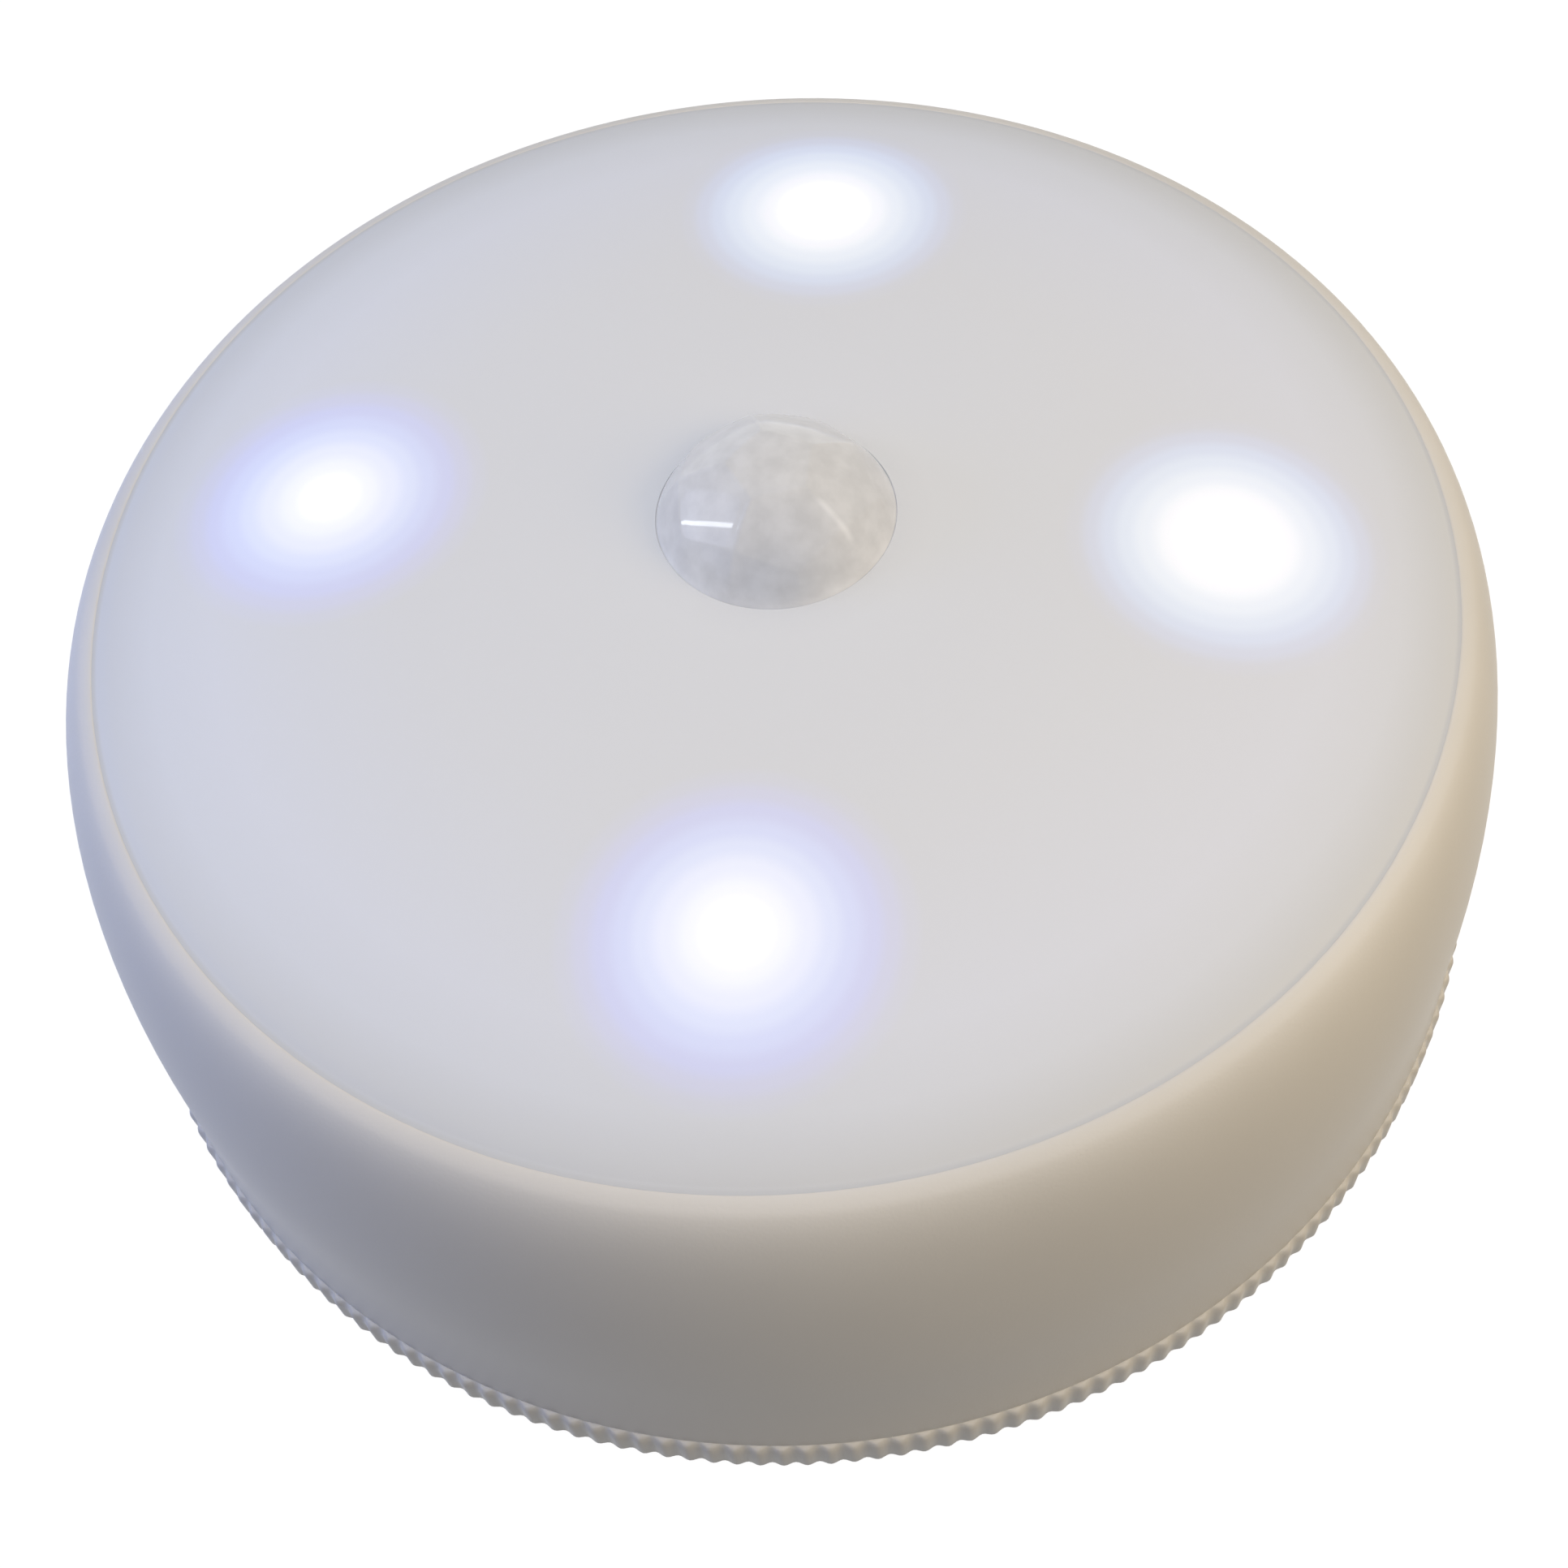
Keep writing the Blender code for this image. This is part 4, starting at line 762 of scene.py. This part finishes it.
class Nodes:
    """Short calls for building a node tree."""

    def __init__(self, tree):
        self.tree = tree
        tree.nodes.clear()

    def add(self, kind, settings=None, **inputs):
        node = self.tree.nodes.new(kind)
        for key, value in (settings or {}).items():
            setattr(node, key, value)
        for key, value in inputs.items():
            self.put(node, key.replace("_", " "), value)
        return node

    def put(self, node, key, value):
        """Sets a socket, given by its name or number, to a value or links it."""
        socket = node.inputs[key]
        if isinstance(value, bpy.types.NodeSocket):
            self.tree.links.new(value, socket)
        else:
            socket.default_value = value

    def math(self, operation, first, second=0.0, clamp=False):
        node = self.add("ShaderNodeMath", {"operation": operation, "use_clamp": clamp})
        self.put(node, 0, first)
        self.put(node, 1, second)
        return node.outputs[0]

    def place(self):
        return self.add("ShaderNodeTexCoord").outputs["Object"]

    def noise(self, place, scale, detail):
        node = self.add("ShaderNodeTexNoise", None, Vector=place, Scale=scale, Detail=detail)
        return node.outputs["Fac"]

    def vectors(self, operation, first, second, output):
        node = self.add("ShaderNodeVectorMath", {"operation": operation})
        self.put(node, 0, first)
        self.put(node, 1, second)
        return node.outputs[output]

    def flat(self, place):
        """The place moved straight down to z = 0."""
        return self.vectors("MULTIPLY", place, (1, 1, 0), "Vector")

    def distance(self, place, point):
        return self.vectors("DISTANCE", place, point, "Value")

    def along(self, place, way):
        """How far a place lies along a direction."""
        return self.vectors("DOT_PRODUCT", place, way, "Value")

    def between(self, factor, low, high):
        """A number that runs from low to high across the middle of the factor's range."""
        node = self.add("ShaderNodeMapRange")
        for key, value in enumerate((factor, *MIDDLE_RANGE, low, high)):
            self.put(node, key, value)
        return node.outputs["Result"]

    def blend(self, kind, first, second, share=1.0):
        """Two colours added or multiplied, at a share of the effect."""
        node = self.add("ShaderNodeMix", {"data_type": "RGBA", "blend_type": kind})
        for key, value in zip(COLOUR_MIX_SOCKETS, (share, first, second)):
            self.put(node, key, value)
        return node.outputs[COLOUR_MIX_OUTPUT]

    def joined(self, kind, first, second, share=None):
        """Two shaders added or mixed."""
        node = self.add(kind)
        sockets = list(node.inputs)
        if share is not None:
            self.put(node, 0, share)
            del sockets[0]
        for shader, socket in zip((first, second), sockets):
            self.tree.links.new(shader.outputs[0], socket)
        return node

    def seen(self):
        """1 for the rays by which the camera, a mirroring or a clear surface sees the place."""
        path = self.add("ShaderNodeLightPath")
        direct = self.math("MAXIMUM", path.outputs["Is Camera Ray"], path.outputs["Is Glossy Ray"])
        return self.math("MAXIMUM", direct, path.outputs["Is Transmission Ray"])

    def bump(self, height, strength, distance=BUMP_DISTANCE):
        node = self.add("ShaderNodeBump", None, Height=height, Strength=strength, Distance=distance)
        return node.outputs["Normal"]

    def surface(self, colour, roughness, normal, metallic=0.0, more=None):
        """The principled shader with its output."""
        shader = self.add("ShaderNodeBsdfPrincipled")
        settings = {"Base Color": colour, "Roughness": roughness, "Normal": normal, "Metallic": metallic}
        for key, value in (settings | (more or {})).items():
            self.put(shader, key, value)
        self.add("ShaderNodeOutputMaterial", None, Surface=shader.outputs["BSDF"])

    def ramp(self, factor, stops, mode="LINEAR"):
        node = self.add("ShaderNodeValToRGB", None, Fac=factor)
        node.color_ramp.interpolation = mode
        elements = node.color_ramp.elements
        elements[0].position, elements[0].color = stops[0][0], (*stops[0][1], 1)
        elements[1].position, elements[1].color = stops[-1][0], (*stops[-1][1], 1)
        for position, colour in stops[1:-1]:
            elements.new(position).color = (*colour, 1)
        return node.outputs["Color"]

    def levels(self, factor, stops, mode="LINEAR"):
        """A grey ramp from (position, level) stops."""
        return self.ramp(factor, [(position, (level,) * 3) for position, level in stops], mode)


def new_material(name):
    material = bpy.data.materials.new(name)
    material.use_nodes = True
    return material, Nodes(material.node_tree)


def diffuser_material():
    """Frosted plastic, lit from behind: four glows and a faint even light that fades at the edge."""
    material, nodes = new_material("frosted_plastic")
    place = nodes.place()
    flat = nodes.flat(place)
    share = nodes.math("DIVIDE", nodes.distance(flat, (0, 0, 0)), diffuser_radius, clamp=True)
    light = nodes.ramp(share, BACKLIGHT_STOPS)
    shades = []
    for stop, level in JOINT_SHADE_STOPS:
        shades.append((stop, tuple(channel * level for channel in DIFFUSER_COLOUR)))
    tint = nodes.ramp(share, shades)
    for number, (shift, stops) in enumerate(zip(GLOW_SHIFTS, GLOW_STOPS), 1):
        low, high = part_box(f"led_{number}")
        middle = (low + high) / 2
        away = nodes.distance(flat, (middle.x + shift[0], middle.y + shift[1], 0))
        glow = nodes.ramp(nodes.math("DIVIDE", away, GLOW_RADIUS, clamp=True), stops, "EASE")
        light = nodes.blend("ADD", light, glow)
    normal = nodes.bump(nodes.noise(place, *DIFFUSER_NOISE), DIFFUSER_BUMP)
    more = {"Emission Color": light, "Emission Strength": 1.0, "Specular IOR Level": DIFFUSER_GLOSS}
    nodes.surface(tint, DIFFUSER_ROUGHNESS, normal, 0.0, more)
    return material


def even_material(finish):
    """Even surface with a fine grain in the bump and a faint unevenness in colour and gloss."""
    material, nodes = new_material(finish.name)
    place = nodes.place()
    fine = nodes.noise(place, finish.grain, NOISE_DETAIL)
    cloud = nodes.noise(place, finish.grain / CLOUD_SHARE, NOISE_DETAIL)
    darker = tuple(channel * (1 - finish.mottle) for channel in finish.colour)
    lighter = tuple(min(1.0, channel * (1 + finish.mottle)) for channel in finish.colour)
    tint = nodes.ramp(cloud, tuple(zip(MIDDLE_RANGE, (darker, lighter))))
    smoother, rougher = finish.roughness * (1 - ROUGHNESS_SPREAD), finish.roughness * (1 + ROUGHNESS_SPREAD)
    gloss = nodes.between(cloud, smoother, rougher)
    nodes.surface(tint, gloss, nodes.bump(fine, finish.strength), finish.metallic, finish.more)
    return material


def board_material():
    """White solder mask with faint copper traces under it."""
    material, nodes = new_material("white_solder_mask")
    traces = nodes.add("ShaderNodeTexBrick", BOARD_PATTERN, Vector=nodes.place())
    for key, value in BOARD_TRACES.items():
        nodes.put(traces, key, value)
    normal = nodes.bump(traces.outputs["Fac"], BOARD_BUMP)
    nodes.surface(traces.outputs["Color"], BOARD_ROUGHNESS, normal)
    return material


def banded(nodes, share, bands):
    """The colour and the bareness that (start, colour, bareness) bands give at a share."""
    tint = nodes.ramp(share, [(start, colour) for start, colour, _ in bands], "CONSTANT")
    return tint, nodes.levels(share, [(start, bare) for start, _, bare in bands], "CONSTANT")


def cell_material(number):
    """Dark sleeve with a copper-coloured band near the nub and bare steel at both ends."""
    low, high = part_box(f"battery_cell_{number}")
    towards_far = high.y > -low.y
    nub_y, flat_y = (high.y, low.y) if towards_far else (low.y, high.y)
    material, nodes = new_material(f"cell_sleeve_{number}")
    place = nodes.place()
    along = nodes.math("SUBTRACT", nodes.along(place, (0, 1, 0)), flat_y)
    tint, bare = banded(nodes, nodes.math("DIVIDE", along, nub_y - flat_y, clamp=True), CELL_BANDS)
    fine = nodes.noise(place, *CELL_NOISE)
    nodes.surface(tint, nodes.between(fine, *CELL_ROUGHNESS), nodes.bump(fine, CELL_BUMP), bare)
    return material


def resistor_material():
    """Black film with tinned ends, which face towards and away from the middle of the board."""
    material, nodes = new_material("film_resistor")
    low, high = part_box("led_resistor_1")
    place = nodes.place()
    away = nodes.math("SUBTRACT", nodes.distance(nodes.flat(place), (0, 0, 0)), low.x)
    tint, bare = banded(nodes, nodes.math("DIVIDE", away, high.x - low.x, clamp=True), RESISTOR_BANDS)
    normal = nodes.bump(nodes.noise(place, *RESISTOR_NOISE), RESISTOR_BUMP)
    nodes.surface(tint, RESISTOR_ROUGHNESS, normal, bare)
    return material


def photocell_material():
    """Sealed ceramic disc with the orange sensing track that winds across its face."""
    material, nodes = new_material("photocell_face")
    low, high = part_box("photocell")
    across = nodes.math("SUBTRACT", nodes.along(nodes.place(), (1, 0, 0)), (low.x + high.x) / 2)
    wave = nodes.math("SINE", nodes.math("MULTIPLY", across, TURN / PHOTOCELL_TRACK_PITCH))
    # Halved, with the half that the node adds by itself: 0 to 1
    level = nodes.math("MULTIPLY_ADD", wave, 0.5)
    tint = nodes.ramp(level, PHOTOCELL_STOPS)
    nodes.surface(tint, PHOTOCELL_ROUGHNESS, nodes.bump(level, PHOTOCELL_BUMP))
    return material


def capacitor_material():
    """Dark shrink sleeve with a pale stripe along the negative side."""
    material, nodes = new_material("shrink_sleeve")
    low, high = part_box("smoothing_capacitor")
    stripe_x = (low.x + high.x) / 2 - CAPACITOR_STRIPE_SHARE * (high.x - low.x)
    place = nodes.place()
    side = nodes.math("GREATER_THAN", stripe_x, nodes.along(place, (1, 0, 0)))
    tint = nodes.ramp(side, CAPACITOR_STOPS)
    normal = nodes.bump(nodes.noise(place, *CAPACITOR_NOISE), CAPACITOR_BUMP)
    nodes.surface(tint, CAPACITOR_ROUGHNESS, normal)
    return material


def lens_material():
    """Milky glossy plastic with a painted glow in its own tint, painted shade where the sensor shows through,
    painted highlights along its ribs and painted light on its foot.
    """
    material, nodes = new_material("milky_plastic")
    place = nodes.place()
    tint = (*LENS_COLOUR, 1)
    # Painted shade where the sensor shows through the lens
    for azimuth, tilt, reach, darkness in PAINTED_LENS_SHADES:
        spot = direction(azimuth, TURN / 4 - tilt) * lens_sphere_radius + Vector((0, 0, lens_middle_z))
        share = nodes.math("DIVIDE", nodes.distance(place, spot), reach, clamp=True)
        shade = nodes.ramp(share, ((0.0, darkness), (PAINTED_LENS_SHADE_CORE, darkness), (1.0, (1, 1, 1))), "EASE")
        tint = nodes.blend("MULTIPLY", tint, shade)
    count, _, first = FACET_RINGS[0]
    inner, outer = RIB_REACH
    # Painted highlight along each rib between the middle facets
    for number, highlight_level in enumerate(RIB_PAINTED_HIGHLIGHTS):
        angle = first + TURN * (number + 0.5) / count
        across = nodes.along(place, (-sin(angle), cos(angle), 0))
        out = nodes.along(place, (*polar(1, angle), 0))
        share = nodes.math("DIVIDE", nodes.math("ABSOLUTE", across), RIB_WIDTH, clamp=True)
        reach = nodes.math("DIVIDE", nodes.math("SUBTRACT", out, inner), outer - inner, clamp=True)
        pale = nodes.levels(share, ((0.0, highlight_level), (1.0, 1)), "EASE")
        tint = nodes.blend("MULTIPLY", tint, pale, nodes.levels(reach, RIB_STRENGTH_STOPS, "EASE"))
    # Painted light on the foot of the lens, lifting the shade there
    height = nodes.math("SUBTRACT", nodes.along(place, (0, 0, 1)), face_z(LENS_RADIUS))
    share = nodes.math("DIVIDE", height, FOOT_HEIGHT, clamp=True)
    tint = nodes.blend("MULTIPLY", tint, nodes.levels(share, FOOT_PAINTED_LIGHT_STOPS))
    cloud = nodes.noise(place, *LENS_CLOUD_NOISE)
    tint = nodes.blend("MULTIPLY", tint, nodes.levels(cloud, LENS_CLOUD_STOPS))
    gloss = nodes.between(cloud, *LENS_ROUGHNESS)
    normal = nodes.bump(nodes.noise(place, *LENS_WAVE_NOISE), *LENS_WAVE_BUMP)
    # The lens glows with painted light in its own tint
    more = LENS_COAT | {"Emission Color": tint, "Emission Strength": LENS_PAINTED_GLOW}
    nodes.surface(tint, gloss, normal, 0.0, more)
    return material


def foam_material():
    """Closed-cell foam: small dimples of uneven size."""
    material, nodes = new_material("closed_cell_foam")
    place = nodes.place()
    cells = nodes.add("ShaderNodeTexVoronoi", None, Vector=place, Scale=FOAM_CELL_SCALE).outputs["Distance"]
    gloss = nodes.between(nodes.noise(place, *FOAM_CLOUD_NOISE), *FOAM_ROUGHNESS)
    nodes.surface(nodes.ramp(cells, FOAM_STOPS), gloss, nodes.bump(cells, FOAM_BUMP))
    return material


def slot_materials():
    """A material for each slot of the record that one material can serve."""
    looks = {slot: even_material(finish) for slot, finish in EVEN_FINISHES.items()}
    looks["diffuser_plastic"] = diffuser_material()
    looks["lens_plastic"] = lens_material()
    looks["board_laminate"] = board_material()
    looks["resistor_body"] = resistor_material()
    looks["photocell_body"] = photocell_material()
    looks["capacitor_sleeve"] = capacitor_material()
    looks["pad_foam"] = foam_material()
    return looks


def dress(piece, material):
    piece.data.materials.clear()
    piece.data.materials.append(material)


def dress_nodes(looks):
    """Gives each carried-over node the material of its slot."""
    for name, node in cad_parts.items():
        slot = node.material_slots[0]
        if slot.material.name == "cell_wrap":
            slot.material = cell_material(name[-1])
        else:
            slot.material = looks[slot.material.name]


def make_world():
    """Even light on the object, and white wherever the world itself is seen."""
    world = bpy.data.worlds.new("studio")
    bpy.context.scene.world = world
    world.use_nodes = True
    nodes = Nodes(world.node_tree)
    lighting = nodes.add("ShaderNodeBackground", None, Color=AMBIENT_COLOUR, Strength=AMBIENT_STRENGTH)
    shown = nodes.add("ShaderNodeBackground", None, Color=WHITE, Strength=1.0)
    mix = nodes.joined("ShaderNodeMixShader", lighting, shown, nodes.seen())
    nodes.add("ShaderNodeOutputWorld", None, Surface=mix.outputs[0])


def make_floor():
    """Pale floor: white to the camera with a faint shadow, greyer in what it throws back at the object."""
    shape = bmesh.new()
    bmesh.ops.create_grid(shape, x_segments=1, y_segments=1, size=FLOOR_SIDE / 2)
    floor = finish_shape("floor", shape, (FLOOR_SHIFT, 0, -FLOOR_DROP))
    material, nodes = new_material("floor_surface")
    length = nodes.add("ShaderNodeLightPath").outputs["Ray Length"]
    close = nodes.math("LESS_THAN", length, FLOOR_CLEAR_REACH)
    thrown = nodes.add("ShaderNodeBsdfDiffuse", None, Color=(*(FLOOR_BOUNCE,) * 3, 1))
    under = nodes.add("ShaderNodeEmission", None, Color=AMBIENT_COLOUR, Strength=AMBIENT_STRENGTH)
    bounce = nodes.joined("ShaderNodeMixShader", thrown, under, close)
    shade = nodes.add("ShaderNodeBsdfDiffuse", None, Color=(*(FLOOR_SHADE,) * 3, 1))
    white = nodes.add("ShaderNodeEmission", None, Color=WHITE, Strength=FLOOR_WHITE)
    shown = nodes.joined("ShaderNodeAddShader", shade, white)
    front = nodes.joined("ShaderNodeMixShader", bounce, shown, nodes.seen())
    below = nodes.add("ShaderNodeNewGeometry").outputs["Backfacing"]
    sided = nodes.joined("ShaderNodeMixShader", front, nodes.add("ShaderNodeBsdfTransparent"), below)
    nodes.add("ShaderNodeOutputMaterial", None, Surface=sided.outputs[0])
    dress(floor, material)


def place_lamp(name, away, along, distance, size, power, colour, shines):
    """A soft rectangular lamp that faces the object. Where it shines, glossy surfaces mirror it."""
    data = bpy.data.lights.new(name, "AREA")
    data.shape = "RECTANGLE"
    data.size, data.size_y = size
    data.energy = power
    data.color = colour
    lamp = bpy.data.objects.new(name, data)
    bpy.context.scene.collection.objects.link(lamp)
    lamp.visible_camera = False
    lamp.visible_glossy = shines
    back = away.normalized()
    side = (along - back * along.dot(back)).normalized()
    turned = Matrix((side, back.cross(side), back)).transposed().to_4x4()
    lamp.matrix_world = Matrix.Translation(Vector((0, 0, edge_z)) + back * distance) @ turned
    return lamp


def make_lamps():
    for name, (azimuth, elevation, along, distance, side, power, colour) in SOFT_LAMPS.items():
        place_lamp(name, direction(azimuth, elevation), along, distance, (side, side), power, colour, False)
    start, end = direction(*TUBE_START), direction(*TUBE_END)
    away, along = start + end, end - start
    size = (along.length * TUBE_DISTANCE, TUBE_WIDTH)
    place_lamp("ceiling_tube", away, along, TUBE_DISTANCE, size, TUBE_POWER, TUBE_COLOUR, True)
    halo = place_lamp("tube_halo", away, along, HALO_DISTANCE, HALO_SIZE, HALO_POWER, HALO_COLOUR, True)
    halo.visible_diffuse = False


bpy.context.scene.view_settings.view_transform = "Standard"
make_camera()
pieces = [make_housing(), make_diffuser(), make_base(), make_lens(), make_pad()]
looks = slot_materials()
dress_nodes(looks)
for piece in pieces:
    dress(piece, looks[piece["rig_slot"]])
make_world()
make_floor()
make_lamps()
